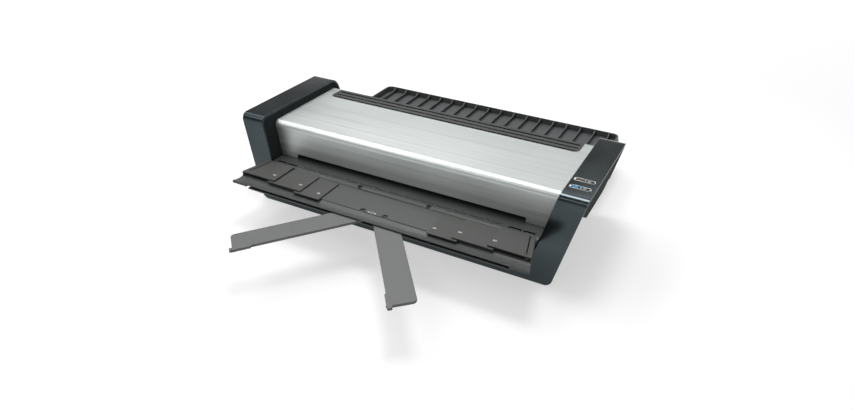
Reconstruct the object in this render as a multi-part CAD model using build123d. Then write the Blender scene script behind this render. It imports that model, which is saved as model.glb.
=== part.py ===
from build123d import *
from math import acos, asin, atan2, cos, hypot, pi, radians, sin, sqrt, tan
import os

# A3 desktop pouch laminator with a fold-down feed tray and a fold-over exit tray.
# Millimetres. While the pieces are drawn, X runs to the right, Y runs to the rear from
# the bottom edge of the front panel, and Z runs up from the table.
# At the end all pieces move along Y together, so that the origin is on the table,
# under the middle of the whole machine as it stands with both trays open.

# Overall body
body_height = 124.0
body_bottom_half = 217.7       # half the width of the front panel at the table
side_slope = 0.2363            # how far each side leans out per mm of height
front_lean = 0.054             # how far the front leans back per mm of height
rear_lean = 0.08               # how far the rear of the end caps leans out, going down
rear_top_y = 190.5             # rear face of the end caps, taken at their full height
end_cap_width = 34.6
panel_ground_gap = 0.8
seam = 0.3                     # gap between shells that sit beside each other
close_gap = 0.1                # between pieces that are pushed or screwed together
overlap = 0.1                  # how deep two solids of one piece run into each other
root = 0.5                     # how deep a boss, rib or post runs into the wall that carries it
past = 1.0                     # how far a cut goes past the face that it opens
shortest_edge = 1e-6           # anything shorter is left out of an outline

# Dark band: front panel, two legs, two end caps and their rear fold in one moulding
band_wall = 3.6
front_fold_radius = 11.0
rear_fold_radius = 16.0
band_rear_end_z = 60.0
plinth_height = 44.0
plinth_corner_radius = 10.0
opening_corner_radius = 6.0

# Side housings behind the band
housing_wall = 2.5
housing_bottom_z = 40.0
pod_inset = 0.8                # the pod's side stands this far inside the band's edge
pod_front_y = 101.0
pod_front_z = 46.5
pod_slant_drop = 21.0          # the pod's slanted underside ends this far below the cap's top
pod_corner_radius = 8.0
pod_nose_radius = 5.0

# Silver top cover
cover_recess = 12.0            # below the end caps, room for the folded exit tray
cover_sheet = 1.6
cover_front_y = 27.6           # front face of the cover at the height of the table plate
cover_front_lean = 0.07
cover_fold_radius = 9.0
cover_rear_y = 176.6
cover_side_gap = 0.5

# Air grille let into the rear of the cover
grille_half = 195.0
grille_front_y = 146.0
grille_corner_radius = 8.0
grille_recess = 0.2
grille_depth = 3.2
grille_front_border = 1.5
grille_rear_border = 5.6
grille_end_border = 4.0
grille_flange = 3.0
slat_count = 2
slat_width = 6.0
slat_thickness = 1.2
slat_tilt = 0.3
web_count = 9
web_thickness = 1.6

# Feeding plane, rollers and heaters
feed_plane_z = 64.0
roller_radius = 12.0
roller_half = 163.0
nip_gap = 0.4
shaft_radius = 5.0
bond_gap = 0.03
running_gap = 0.05
front_roller_y = 72.0
shaft_left_x = -178.0
shaft_right_x = 186.0
gear_teeth = 20
idler_teeth = 26
pinion_teeth = 14
gear_width = 6.0
gear_x = 179.0
gear_backlash = 0.22
addendum_share = 0.8
dedendum_share = 1.1
pressure_angle = radians(20.0)
flank_steps = 4
stud_radius = 4.0
bush_radius = 7.0
bush_flange_radius = 8.5
bush_flange_width = 1.2
heater_thickness = 5.8
heater_length = 28.0
heater_gap = 2.4
heater_end_gap = 0.2
fin_count = 4
fin_gap = 3.0
bush_reach_in = 2.0
bush_reach_out = 2.4
stud_neck_radius = 3.0
stud_neck_length = 0.5
stud_collar_radius = 6.0
stud_clip_radius = 5.5
stud_clip_end = 1.2            # past the idler's outer face

# Thermal fuse on the upper heater
fuse_x = 53.0
fuse_base_length = 26.0
fuse_base_height = 2.0
fuse_can_radius = 5.0
fuse_can_height = 8.0
fuse_tab_x = 6.5
fuse_tab_width = 4.0
fuse_tab_sheet = 1.0
fuse_tab_height = 10.0

# Gear motor
motor_radius = 17.0
motor_length = 28.0
motor_boss_radius = 5.5
motor_boss_reach = 1.5
motor_boss_hole = 6.0
motor_cap_radius = 6.0
motor_cap_length = 3.0
motor_shaft_radius = 3.0
motor_shaft_depth = 15.0
motor_shaft_end = 0.5

# Inner chassis
plate_x = 172.0
plate_sheet = 2.0
plate_front_y = 46.0
plate_rear_y = 156.0
plate_top_margin = 2.4         # above the pressure springs
plate_foot = 14.0
plate_foot_length = 20.0
spring_radius = 4.0
spring_wire = 1.2
spring_height = 10.0
tie_rod_radius = 4.0
tie_rod_inset = 6.0
tie_rod_low_z = 16.0
tie_rod_high_z = 92.0
tie_screw_radius = 2.4
tie_screw_reach = 2.0

# Base pan and feet
foot_height = 4.0
foot_radius = 8.0
foot_socket = 1.0
foot_inset_x = 26.0
foot_front_y = 24.0
foot_rear_y = 162.0
foot_chamfer = 1.0
floor_sheet = 2.5
base_wall = 2.5
base_front_y = 6.4
base_front_top_z = 44.9
base_top_gap = 0.2             # under the side housings
rear_post_half = 5.0
rear_post_depth = 9.0
rear_screw_x = 176.0
rear_screw_z = 14.0
rear_screw_length = 10.0
floor_slot_count = 11
floor_slot_pitch = 9.0
floor_slot_x = 30.0
floor_slot_y = 30.0            # first row, from the front of the side plates
floor_slot_row_pitch = 40.0
floor_slot_length = 24.0
floor_slot_width = 3.0

# Entry table with the hinge barrel of the feed tray
table_top_z = 63.4
table_sheet = 2.2
table_rear_y = 57.0
table_neck_y = 44.0
table_side_gap = 0.6
table_neck_gap = 1.0           # beside the plate's narrow rear part, to each side plate
hinge_y = 5.2
hinge_z = 54.2
barrel_wall = 2.0
channel_rear_y = 16.4
knuckle_spans = ((157.9, 172.9), (176.5, 190.1))
knuckle_gap = 0.5
knuckle_clear = 0.2
knuckle_slot = 1.2
knuckle_neck = 3.8
lug_width = 2.6
hinge_pin_radius = 1.6
hinge_pin_end = 1.0            # past the outer lug
dash_pitch = 22.8
dash_count = 13
dash_length = 18.4
dash_width = 1.0
dash_depth = 0.9
dash_y = 9.7
dash_tick = 1.6
table_screw_x = 51.0
table_screw_y = 3.0
table_screw_depth = 1.0
table_post_wall = 1.6
table_post_half = 6.0
entry_slot_half = 171.0
entry_slot_top_z = 70.0

# Feed tray, open and level in this pose
tray_top_z = 64.0
tray_bottom_z = 54.0
tray_skin = 2.4
tray_wall = 2.4
tray_barrel_gap = 0.6
tray_front_y = -64.6
tray_end_half = 194.5          # half width of the tray's slanted ends, carried to Y = 0
cove_rear_y = -48.6
cove_low_y = -57.0
cove_drop = 2.4
lip_rise = 1.0
lip_thickness = 1.2
lip_bevel = 0.8
lip_return = 2.0
cove_step = 0.8
cove_underside_rise = 0.4
cove_root = 4.0
tray_rear_bevel = 1.0
tray_seat_depth = 2.0          # the tray's skin over its end walls
pivot_boss_wall = 2.0
tray_base_sheet = 1.8
tray_base_inset = 3.2
arm_slot_inset = 8.5           # from the tray's slanted ends to the room for the folded arms
tray_chin_y = -50.0            # the underside of the tray's ends rises from here to the lip
tray_chin_z = 58.6
nose_setback = 0.4
tray_screw_depth = 1.2
tray_screw_clear = 0.4

# Paper guides on the feed tray, stepped like stairs from the ends to the middle
guide_sheet = 1.5
guide_gap = 0.2
outer_guide_edge = 152.0       # half the width of the widest pouch
middle_guide_edge = 108.5
inner_guide_edge = 77.0
outer_guide_front_y = -48.0
middle_guide_front_y = -51.0
inner_guide_front_y = -54.5
guide_rear_y = -7.6
guide_wall = 2.0
guide_end_wall = 1.5
guide_cover_sheet = 1.9
guide_overlap = 8.0
guide_slot_inset = 6.0
guide_slot_width = 1.4
guide_slot_front_gap = 5.0
guide_slot_rear_gap = 1.0
guide_corner_radius = 1.0

# Swing arms that carry a long sheet in front of the tray
arm_pivot_x = 16.0
arm_pivot_y = -45.6
arm_width = 31.0
arm_length = 162.0
arm_bottom_z = 56.4
arm_sheet = 3.6
arm_open_angle = 37.3          # from straight ahead
arm_end_skew = 2.0
arm_end_radius = 6.0
arm_pad_length = 21.0
arm_pad_width = 1.6
arm_pad_radius = 2.0
arm_hook = 3.5
arm_hook_width = 4.0
arm_hook_skew = 0.6
arm_hook_radius = 1.5
arm_hook_inner_radius = 1.0
arm_pin_radius = 3.0

# Exit tray, open and level in this pose
exit_hinge_y = 184.5
exit_rear_y = 347.0
exit_fold_gap = 0.95           # beside the folded tray, to each end cap
exit_neck_gap = 9.7            # beside the tray's neck, to each side housing
exit_wide_y = 201.5
exit_bottom_z = 48.4
exit_height = 11.2
exit_floor = 2.4
exit_wall = 2.4
exit_corner_radius = 10.0
exit_shoulder_radius = 3.0
exit_rib_pitch = 22.7
exit_rib_pairs = 9
exit_rib_sheet = 1.6
exit_rib_height = 7.6
exit_rib_head = 3.0            # length of the rib's high end at the rear wall
exit_rib_head_drop = 0.4
exit_rib_slope = 5.0           # length of the slope below that end
exit_rib_radius = 2.0
exit_rib_foot_radius = 4.0
exit_arm_width = 8.0
exit_arm_sheet = 7.6
exit_arm_round = 5.0
exit_pin_radius = 2.5
exit_boss_radius = 5.0

# Rear cover with the exit slot, the mains inlet, the switch and the fan
rear_cover_y = 174.8
rear_cover_sheet = 2.2
rear_cover_gap = 2.1           # under the top cover's sheet
exit_slot_bottom_z = 60.6
exit_slot_top_z = 69.6
exit_slot_half = 168.0
exit_guide_sheet = 2.0
exit_guide_front_y = 146.0
vent_width = 2.6
vent_pitch = 6.5
vent_height = 16.0
vent_per_group = 18
vent_group_x = 90.0
vent_top_margin = 8.0
service_z = 26.0
inlet_x = 150.0
inlet_width = 27.0
inlet_height = 20.0
inlet_depth = 22.0
inlet_wall = 2.0
blade_width = 2.0
blade_height = 4.0
blade_step = 2.0               # the middle blade stands this much higher
blade_setback = 3.0
bezel_margin = 2.6
bezel_sheet = 1.6
bezel_radius = 1.5
switch_x = 108.0
switch_width = 15.0
switch_height = 21.0
switch_depth = 14.0
switch_wall = 2.0
rocker_side_gap = 2.0
rocker_end_gap = 2.6
rocker_end_room = 1.2
rocker_axis_depth = 4.0
rocker_back = 3.0              # behind its axis
rocker_back_half = 2.0
rocker_edge_radius = 0.8
rocker_tip_radius = 0.5
rocker_tip_rise = 1.4
rocker_tip_inset = 0.4
rocker_hollow_rise = 0.2
rocker_shoulder = 0.6
rocker_pin_gap = 0.4
rocker_swing = 12.0
fan_x = -120.0
fan_size = 40.0
fan_depth = 10.0
fan_bore = 18.6
fan_hub = 8.0
fan_gap = 0.2                  # to the rear cover
fan_floor_gap = 0.3
fan_corner_radius = 3.0
fan_back_sheet = 2.0
fan_front_gap = 3.0
fan_vent_margin = 4.0
fan_vent_count = 5
strut_count = 3
strut_width = 1.6
strut_angle = 30.0
vane_count = 7
vane_angle = 35.0
vane_sheet = 1.2
vane_width = 8.0
vane_root = 2.0
vane_tip_gap = 1.0

# Touch strips on the right end cap, and the boards
strip_x = 228.4
strip_length = 26.0
strip_width = 8.0
strip_front_y = 35.0
strip_pitch = 19.0
strip_depth = 0.8
strip_rise = 0.2
board_sheet = 1.6
board_side_gap = 1.5
control_board_length = 66.0
# Parts on the control board: x and y from its corner, width, depth and height
control_board_parts = ((6.0, 44.0, 10.0, 10.0, 1.4), (4.0, 58.0, 16.0, 5.0, 5.0))
power_board_size = (112.0, 74.0)
power_board_centre = (-84.0, 101.0)
# Transformer, choke and relay: x and y from the board's middle, width, depth and height
power_board_parts = (
    (-46.0, -24.0, 28.0, 32.0, 20.0),
    (10.0, -20.0, 20.0, 16.0, 12.0),
    (36.0, 6.0, 12.0, 24.0, 9.0),
)
capacitor_count = 3
capacitor_radius = 5.0
capacitor_height = 16.0
capacitor_pitch = 14.0
capacitor_place = (-2.0, 20.0)
standoff_height = 5.5
standoff_radius = 3.0
standoff_inset = 5.0
screw_radius = 1.5
screw_head_radius = 3.2
screw_head_height = 1.6
screw_clear = 0.2
screw_reach = 4.0              # above the sheet that a chassis screw holds
cross_length = 3.6
cross_width = 0.7
cross_depth = 0.8


# Lines of the body that several pieces follow
def outer_half(z):
    return body_bottom_half + side_slope * z


def inner_half(z):
    return body_bottom_half - end_cap_width + side_slope * z


def front_y(z):
    return front_lean * z


def rear_y(z):
    return rear_top_y + rear_lean * (body_height - z)


def cover_face_y(z):
    return cover_front_y + cover_front_lean * (z - feed_plane_z)


def tray_end(y):
    return tray_end_half - side_slope * y


# Shape helpers
def box(x0, x1, y0, y1, z0, z1):
    middle = ((x0 + x1) / 2, (y0 + y1) / 2, (z0 + z1) / 2)
    return Pos(*middle) * Box(x1 - x0, y1 - y0, z1 - z0)


def outline(corners):
    """Face from corners (u, v) or (u, v, radius), each corner rounded by its radius."""
    edges = []
    first_start = None
    last_end = None
    count = len(corners)
    for i in range(count):
        here = Vector(corners[i][0], corners[i][1])
        before = Vector(corners[i - 1][0], corners[i - 1][1])
        after = Vector(corners[(i + 1) % count][0], corners[(i + 1) % count][1])
        radius = corners[i][2] if len(corners[i]) > 2 else 0.0
        start = here
        end = here
        arc = None
        if radius > 0:
            back = (before - here).normalized()
            ahead = (after - here).normalized()
            half_angle = acos(max(-1.0, min(1.0, back.dot(ahead)))) / 2
            start = here + back * (radius / tan(half_angle))
            end = here + ahead * (radius / tan(half_angle))
            centre = here + (back + ahead).normalized() * (radius / sin(half_angle))
            middle = centre + (here - centre).normalized() * radius
            arc = ThreePointArc(start, middle, end)
        if last_end is not None and (start - last_end).length > shortest_edge:
            edges.append(Line(last_end, start))
        if arc is not None:
            edges.append(arc)
        if first_start is None:
            first_start = start
        last_end = end
    if (first_start - last_end).length > shortest_edge:
        edges.append(Line(last_end, first_start))
    return make_face(edges)


def along_x(face, x0, x1):
    """Prism of a face drawn in (Y, Z)."""
    return extrude(Plane.YZ.offset(x0) * face, amount=x1 - x0)


def along_y(face, y0, y1):
    """Prism of a face drawn in (X, Z)."""
    return extrude(Plane.XZ.offset(-y1) * face, amount=y1 - y0)


def along_z(face, z0, z1):
    """Prism of a face drawn in (X, Y)."""
    return extrude(Plane.XY.offset(z0) * face, amount=z1 - z0)


def rod_x(y, z, radius, x0, x1):
    return along_x(Pos(y, z) * Circle(radius), x0, x1)


def rod_y(x, z, radius, y0, y1):
    return along_y(Pos(x, z) * Circle(radius), y0, y1)


def rod_z(x, y, radius, z0, z1):
    return along_z(Pos(x, y) * Circle(radius), z0, z1)


def wedge(half_at, z0, z1, shift=0.0):
    """Prism through the whole depth between the two slanted sides given by half_at(z)."""
    corners = [
        (-(half_at(z0) + shift), z0),
        (half_at(z0) + shift, z0),
        (half_at(z1) + shift, z1),
        (-(half_at(z1) + shift), z1),
    ]
    return along_y(outline(corners), -far, far)


def slant_slab(near_half, near_shift, far_half, far_shift, z0, z1):
    """Right-hand slab between two slanted side planes."""
    corners = [
        (near_half(z0) + near_shift, z0),
        (far_half(z0) + far_shift, z0),
        (far_half(z1) + far_shift, z1),
        (near_half(z1) + near_shift, z1),
    ]
    return along_y(outline(corners), -far, far)


def mirrored(shape):
    return mirror(shape, about=Plane.YZ)


def group(shapes):
    """Separate solids that share one node."""
    return Compound([solid for shape in shapes for solid in shape.solids()])


def both_sides(shape):
    return shape + mirrored(shape)


far = 2 * exit_rear_y
above = 2 * body_height
shell_gap = band_wall + seam
cover_top_z = body_height - cover_recess
pod_slant_top_z = body_height - pod_slant_drop
arm_slot_half = tray_end_half - arm_slot_inset
exit_rim_z = exit_bottom_z + exit_height
exit_hinge_z = (body_height + exit_bottom_z) / 2
exit_half = inner_half(2 * exit_hinge_z - exit_rim_z) - exit_fold_gap
exit_neck_half = inner_half(exit_hinge_z) - exit_neck_gap
rear_cover_top_z = cover_top_z - cover_sheet - rear_cover_gap
vent_z = rear_cover_top_z - vent_top_margin - vent_height / 2
lower_roller_z = feed_plane_z - roller_radius
upper_roller_z = lower_roller_z + 2 * roller_radius + nip_gap
gear_module = (2 * roller_radius + nip_gap) / gear_teeth
gear_radius = gear_module * gear_teeth / 2
idler_radius = gear_module * idler_teeth / 2
pinion_radius = gear_module * pinion_teeth / 2
idler_y = front_roller_y + gear_radius + idler_radius
rear_roller_y = idler_y + gear_radius + idler_radius
motor_z = lower_roller_z - idler_radius - pinion_radius
floor_z = foot_height + floor_sheet
rear_cover_back_y = rear_cover_y + rear_cover_sheet


# Front band
def strip_centre_y(number):
    return strip_front_y + strip_pitch * number


def strip_pocket(number, clearance, z0, z1):
    face = SlotOverall(strip_length + 2 * clearance, strip_width + 2 * clearance)
    return along_z(Pos(strip_x, strip_centre_y(number)) * face, z0, z1)


def front_frame():
    top = body_height
    inside_top = top - band_wall
    profile = [
        (front_y(panel_ground_gap), panel_ground_gap),
        (front_y(top), top, front_fold_radius),
        (rear_y(top), top, rear_fold_radius),
        (rear_y(band_rear_end_z), band_rear_end_z),
        (rear_y(band_rear_end_z) - band_wall, band_rear_end_z),
        (rear_y(inside_top) - band_wall, inside_top, rear_fold_radius - band_wall),
        (front_y(inside_top) + band_wall, inside_top, front_fold_radius - band_wall),
        (front_y(panel_ground_gap) + band_wall, panel_ground_gap),
    ]
    band = along_x(outline(profile), -far, far)
    low = panel_ground_gap
    outside = [
        (-outer_half(low), low, plinth_corner_radius),
        (outer_half(low), low, plinth_corner_radius),
        (outer_half(above), above),
        (-outer_half(above), above),
    ]
    opening = [
        (-inner_half(plinth_height), plinth_height, opening_corner_radius),
        (inner_half(plinth_height), plinth_height, opening_corner_radius),
        (inner_half(above), above),
        (-inner_half(above), above),
    ]
    frame = band & along_y(outline(outside), -far, far)
    frame -= along_y(outline(opening), -far, far)
    for number in range(2):
        frame -= strip_pocket(number, close_gap, top - strip_depth, above)
    return frame


def touch_strip(number):
    return strip_pocket(number, 0.0, body_height - strip_depth, body_height + strip_rise)


# Side housings
def housing_profile(bottom_front, bottom_rear):
    top = body_height - shell_gap
    return [
        bottom_front,
        (front_y(top) + shell_gap, top, front_fold_radius - shell_gap),
        (rear_y(top) - shell_gap, top, rear_fold_radius - shell_gap),
        bottom_rear,
    ]


def side_housing():
    low = housing_bottom_z
    cheek_face = outline(housing_profile(
        (front_y(low) + shell_gap, low),
        (rear_y(low) - shell_gap, low, pod_corner_radius)))
    cheek = along_x(cheek_face, 0, far) & slant_slab(inner_half, 0, inner_half, housing_wall, 0, above)
    slant = pod_slant_top_z
    pod_corners = housing_profile(
        (front_y(slant) + shell_gap, slant, pod_nose_radius),
        (rear_y(low) - shell_gap, low, pod_corner_radius))
    pod_corners.append((pod_front_y, pod_front_z, pod_corner_radius))
    pod_face = outline(pod_corners)
    pod = along_x(pod_face, 0, far)
    pod &= slant_slab(inner_half, housing_wall / 2, outer_half, -pod_inset, 0, above)
    hollow_face = offset(pod_face, amount=-housing_wall)
    top = body_height - shell_gap
    mouth = box(0, far, front_y(top) + shell_gap + front_fold_radius,
                rear_y(top) - shell_gap - rear_fold_radius, top - 2 * housing_wall, above)
    hollow = along_x(hollow_face, 0, far) + mouth
    hollow &= slant_slab(inner_half, housing_wall, outer_half, -pod_inset - housing_wall, 0, above)
    housing = cheek + (pod - hollow)
    boss_end = exit_neck_half + 2 * seam
    cheek_x = inner_half(exit_hinge_z)
    housing += rod_x(exit_hinge_y, exit_hinge_z, exit_boss_radius, boss_end, cheek_x + housing_wall / 2)
    pin_end = cheek_x + housing_wall + exit_boss_radius
    housing -= rod_x(exit_hinge_y, exit_hinge_z, exit_pin_radius + running_gap, 0, pin_end)
    return housing


# Silver cover and its grille
def top_cover():
    top = cover_top_z
    low = table_top_z + seam
    inside = top - cover_sheet
    profile = [
        (cover_face_y(low), low),
        (cover_face_y(top), top, cover_fold_radius),
        (cover_rear_y, top),
        (cover_rear_y, inside),
        (cover_face_y(inside) + cover_sheet, inside, cover_fold_radius - cover_sheet),
        (cover_face_y(low) + cover_sheet, low),
    ]
    cover = along_x(outline(profile), -far, far)
    cover &= wedge(inner_half, 0, above, -cover_side_gap)
    cover -= box(-entry_slot_half, entry_slot_half, 0, cover_rear_y / 2, 0, entry_slot_top_z)
    hole = [
        (-grille_half, grille_front_y, grille_corner_radius),
        (grille_half, grille_front_y, grille_corner_radius),
        (grille_half, far),
        (-grille_half, far),
    ]
    return cover - along_z(outline(hole), inside - past, above)


def rounded_tray(half, y0, y1, radius):
    return outline([(-half, y0, radius), (half, y0, radius), (half, y1), (-half, y1)])


def top_grille():
    top = cover_top_z - grille_recess
    low = top - grille_depth
    half = grille_half - seam
    front = grille_front_y + seam
    rear = cover_rear_y
    open_front = front + grille_front_border
    open_rear = rear - grille_rear_border
    open_half = half - grille_end_border
    body = along_z(rounded_tray(half, front, rear, grille_corner_radius - seam), low, top)
    hole = along_z(rounded_tray(open_half, open_front, open_rear, grille_corner_radius - grille_end_border),
                   low - past, top + past)
    flange_top = cover_top_z - cover_sheet - seam
    ledge_face = rounded_tray(half + grille_flange, front - grille_flange, rear, grille_corner_radius)
    body += along_z(ledge_face, low, flange_top)
    body -= hole
    slot_width = (open_rear - open_front - slat_count * slat_width) / (slat_count + 1)
    for number in range(slat_count):
        centre = open_front + (slot_width + slat_width) * (number + 1) - slat_width / 2
        slat = [
            (centre - slat_width / 2, top - slat_tilt - slat_thickness),
            (centre + slat_width / 2, top - slat_thickness),
            (centre + slat_width / 2, top),
            (centre - slat_width / 2, top - slat_tilt),
        ]
        body += along_x(outline(slat), -open_half - root, open_half + root)
    web_pitch = 2 * half / (web_count + 1)
    web_top = top - slat_tilt - slat_thickness / 2
    for number in range(web_count):
        x = -half + web_pitch * (number + 1)
        body += box(x - web_thickness / 2, x + web_thickness / 2, open_front - root, open_rear + root,
                    low, web_top)
    return body


# Rear cover and what is let into it
def vent_row(x_middle, z_middle, height, count, y0, y1):
    row = None
    for number in range(count):
        x = x_middle + vent_pitch * (number - (count - 1) / 2)
        face = Pos(x, z_middle) * Rot(0, 0, 90) * SlotOverall(height, vent_width)
        slot = along_y(face, y0, y1)
        row = slot if row is None else row + slot
    return row


def rear_cover():
    back = rear_cover_back_y
    low = floor_z + seam
    face = outline([
        (-inner_half(low) + cover_side_gap, low),
        (inner_half(low) - cover_side_gap, low),
        (inner_half(rear_cover_top_z) - cover_side_gap, rear_cover_top_z),
        (-inner_half(rear_cover_top_z) + cover_side_gap, rear_cover_top_z),
    ])
    cover = along_y(face, rear_cover_y, back)
    for z0 in (exit_slot_bottom_z - exit_guide_sheet, exit_slot_top_z):
        cover += box(-exit_slot_half, exit_slot_half, exit_guide_front_y, rear_cover_y + past, z0,
                     z0 + exit_guide_sheet)
    inside = rear_cover_y - past
    outside = back + past
    cover -= box(-exit_slot_half, exit_slot_half, inside, outside, exit_slot_bottom_z, exit_slot_top_z)
    for x in (-vent_group_x, vent_group_x):
        cover -= vent_row(x, vent_z, vent_height, vent_per_group, inside, outside)
    fan_slot = 2 * (fan_bore - fan_vent_margin)
    cover -= vent_row(fan_x, fan_centre_z, fan_slot, fan_vent_count, inside, outside)
    cover -= box(inlet_x - inlet_width / 2 - seam, inlet_x + inlet_width / 2 + seam, inside, outside,
                 service_z - inlet_height / 2 - seam, service_z + inlet_height / 2 + seam)
    cover -= box(switch_x - switch_width / 2 - seam, switch_x + switch_width / 2 + seam, inside, outside,
                 service_z - switch_height / 2 - seam, service_z + switch_height / 2 + seam)
    for x in (-rear_screw_x, rear_screw_x):
        cover -= rod_y(x, rear_screw_z, screw_radius + screw_clear, inside, outside)
    return cover


def bezel(x, width, height):
    back = rear_cover_back_y
    face = outline([
        (x - width / 2 - bezel_margin, service_z - height / 2 - bezel_margin, bezel_radius),
        (x + width / 2 + bezel_margin, service_z - height / 2 - bezel_margin, bezel_radius),
        (x + width / 2 + bezel_margin, service_z + height / 2 + bezel_margin, bezel_radius),
        (x - width / 2 - bezel_margin, service_z + height / 2 + bezel_margin, bezel_radius),
    ])
    return along_y(face, back, back + bezel_sheet)


def mains_inlet():
    back = rear_cover_back_y
    body = bezel(inlet_x, inlet_width, inlet_height)
    body += box(inlet_x - inlet_width / 2, inlet_x + inlet_width / 2, back - inlet_depth, back,
                service_z - inlet_height / 2, service_z + inlet_height / 2)
    cut = inlet_height / 4
    left = inlet_x - inlet_width / 2 + inlet_wall
    right = inlet_x + inlet_width / 2 - inlet_wall
    low = service_z - inlet_height / 2 + inlet_wall
    high = service_z + inlet_height / 2 - inlet_wall
    mouth = outline([(left, low), (right, low), (right, high - cut), (right - cut, high),
                     (left + cut, high), (left, high - cut)])
    body -= along_y(mouth, back - inlet_depth + 2 * inlet_wall, back + bezel_sheet + past)
    blade_pitch = inlet_width / 4
    for number in (-1, 0, 1):
        x = inlet_x + blade_pitch * number
        z = service_z + (blade_step / 2 if number == 0 else -blade_step / 2)
        body += box(x - blade_width / 2, x + blade_width / 2, back - inlet_depth + inlet_wall,
                    back - blade_setback, z - blade_height / 2, z + blade_height / 2)
    return body


def switch_housing():
    back = rear_cover_back_y
    body = bezel(switch_x, switch_width, switch_height)
    body += box(switch_x - switch_width / 2, switch_x + switch_width / 2, back - switch_depth, back,
                service_z - switch_height / 2, service_z + switch_height / 2)
    room_half = rocker_half_height + rocker_end_room
    body -= box(switch_x - rocker_half_width - seam, switch_x + rocker_half_width + seam,
                back - switch_depth + switch_wall, back + bezel_sheet + past,
                service_z - room_half, service_z + room_half)
    body -= rod_x(rocker_axis_y, service_z, screw_radius + running_gap, switch_x - switch_width / 2 - past,
                  switch_x + switch_width / 2 + past)
    return body


def switch_rocker():
    """Rocker tipped to its off side, with the pin that it turns on."""
    reach = rear_cover_back_y + bezel_sheet - rocker_axis_y
    half = rocker_half_height
    tip = half - rocker_tip_inset
    face = outline([
        (-rocker_back, -rocker_back_half, rocker_edge_radius),
        (reach - rocker_shoulder, -half, rocker_edge_radius),
        (reach + rocker_tip_rise, -tip, rocker_tip_radius),
        (reach + rocker_hollow_rise, 0.0),
        (reach + rocker_tip_rise, tip, rocker_tip_radius),
        (reach - rocker_shoulder, half, rocker_edge_radius),
        (-rocker_back, rocker_back_half, rocker_edge_radius),
    ])
    body = along_x(face, -rocker_half_width, rocker_half_width)
    pin_half = switch_width / 2 - rocker_pin_gap
    body += rod_x(0, 0, screw_radius, -pin_half, pin_half)
    return Pos(switch_x, rocker_axis_y, service_z) * Rot(rocker_swing / 2, 0, 0) * body


def fan_frame():
    y1 = rear_cover_y - fan_gap
    y0 = y1 - fan_depth
    half = fan_size / 2
    face = outline([
        (fan_x - half, fan_centre_z - half, fan_corner_radius),
        (fan_x + half, fan_centre_z - half, fan_corner_radius),
        (fan_x + half, fan_centre_z + half, fan_corner_radius),
        (fan_x - half, fan_centre_z + half, fan_corner_radius),
    ])
    body = along_y(face, y0, y1) - rod_y(fan_x, fan_centre_z, fan_bore, y0 - past, y1 + past)
    body += rod_y(fan_x, fan_centre_z, fan_hub, y1 - fan_back_sheet, y1)
    for number in range(strut_count):
        strut = Box(fan_bore - fan_hub + 2 * past, strut_width, strut_width)
        strut = Pos((fan_bore + fan_hub) / 2, 0, 0) * strut
        turn = Rot(0, 360 / strut_count * number + strut_angle, 0)
        body += Pos(fan_x, y1 - fan_back_sheet / 2, fan_centre_z) * turn * strut
    body += rod_y(fan_x, fan_centre_z, screw_radius, y0 + past, y1 - past)
    return body


def fan_impeller():
    y1 = rear_cover_y - fan_gap - fan_back_sheet - seam
    y0 = y1 - fan_depth + fan_front_gap
    body = rod_y(fan_x, fan_centre_z, fan_hub, y0, y1)
    start = fan_hub - vane_root
    length = fan_bore - vane_tip_gap - start
    for number in range(vane_count):
        vane = Pos(start + length / 2, 0, 0) * Rot(vane_angle, 0, 0) * Box(length, vane_sheet, vane_width)
        body += Pos(fan_x, (y0 + y1) / 2, fan_centre_z) * Rot(0, 360 / vane_count * number, 0) * vane
    body -= rod_y(fan_x, fan_centre_z, screw_radius + running_gap, y0 - past, y1 + past)
    return body


# Base pan, feet and screws
def base_pan():
    low = foot_height
    high = housing_bottom_z - base_top_gap
    side = [
        (inner_half(low), low),
        (inner_half(low) + base_wall, low),
        (inner_half(high) + base_wall, high),
        (inner_half(high), high),
    ]
    pan = both_sides(along_y(outline(side), base_front_y, rear_cover_back_y))
    floor = [
        (-inner_half(low) - 1, low),
        (inner_half(low) + 1, low),
        (inner_half(floor_z) + 1, floor_z),
        (-inner_half(floor_z) - 1, floor_z),
    ]
    pan += along_y(outline(floor), base_front_y, rear_cover_back_y)
    front = [
        (-inner_half(low), low),
        (inner_half(low), low),
        (inner_half(high) - 1, high),
        (inner_half(high) - 1, base_front_top_z),
        (-inner_half(high) + 1, base_front_top_z),
        (-inner_half(high) + 1, high),
    ]
    pan += along_y(outline(front), base_front_y, base_front_y + base_wall)
    for x, y in standoff_places:
        pan += rod_z(x, y, standoff_radius, floor_z - root, floor_z + standoff_height)
    for x in (-rear_screw_x, rear_screw_x):
        front = rear_cover_y - rear_post_depth
        post = box(x - rear_post_half, x + rear_post_half, front, rear_cover_y - close_gap,
                   floor_z - root, rear_screw_z + rear_post_half)
        pan += post - rod_y(x, rear_screw_z, screw_radius + running_gap, front, rear_cover_y)
    for x, y in foot_places:
        pan -= rod_z(x, y, foot_radius + close_gap, 0, low + foot_socket)
    for x, y in chassis_screw_places:
        pan -= rod_z(x, y, screw_radius + screw_clear, 0, floor_z + past)
        pan -= rod_z(x, y, screw_head_radius + screw_clear, 0, low + screw_head_height + close_gap)
    for row in range(2):
        y = plate_front_y + floor_slot_y + floor_slot_row_pitch * row
        for number in range(floor_slot_count):
            x = floor_slot_x + floor_slot_pitch * number
            slot = Pos(x, y) * Rot(0, 0, 90) * SlotOverall(floor_slot_length, floor_slot_width)
            pan -= along_z(slot, 0, floor_z + past)
    return pan


def rubber_feet():
    feet = []
    top = foot_height + foot_socket - close_gap
    for x, y in foot_places:
        face = outline([
            (0, 0),
            (foot_radius - foot_chamfer, 0),
            (foot_radius, foot_chamfer),
            (foot_radius, top),
            (0, top),
        ])
        feet.append(Pos(x, y, 0) * revolve(Plane.XZ * face, axis=Axis.Z))
    return group(feet)


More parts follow.
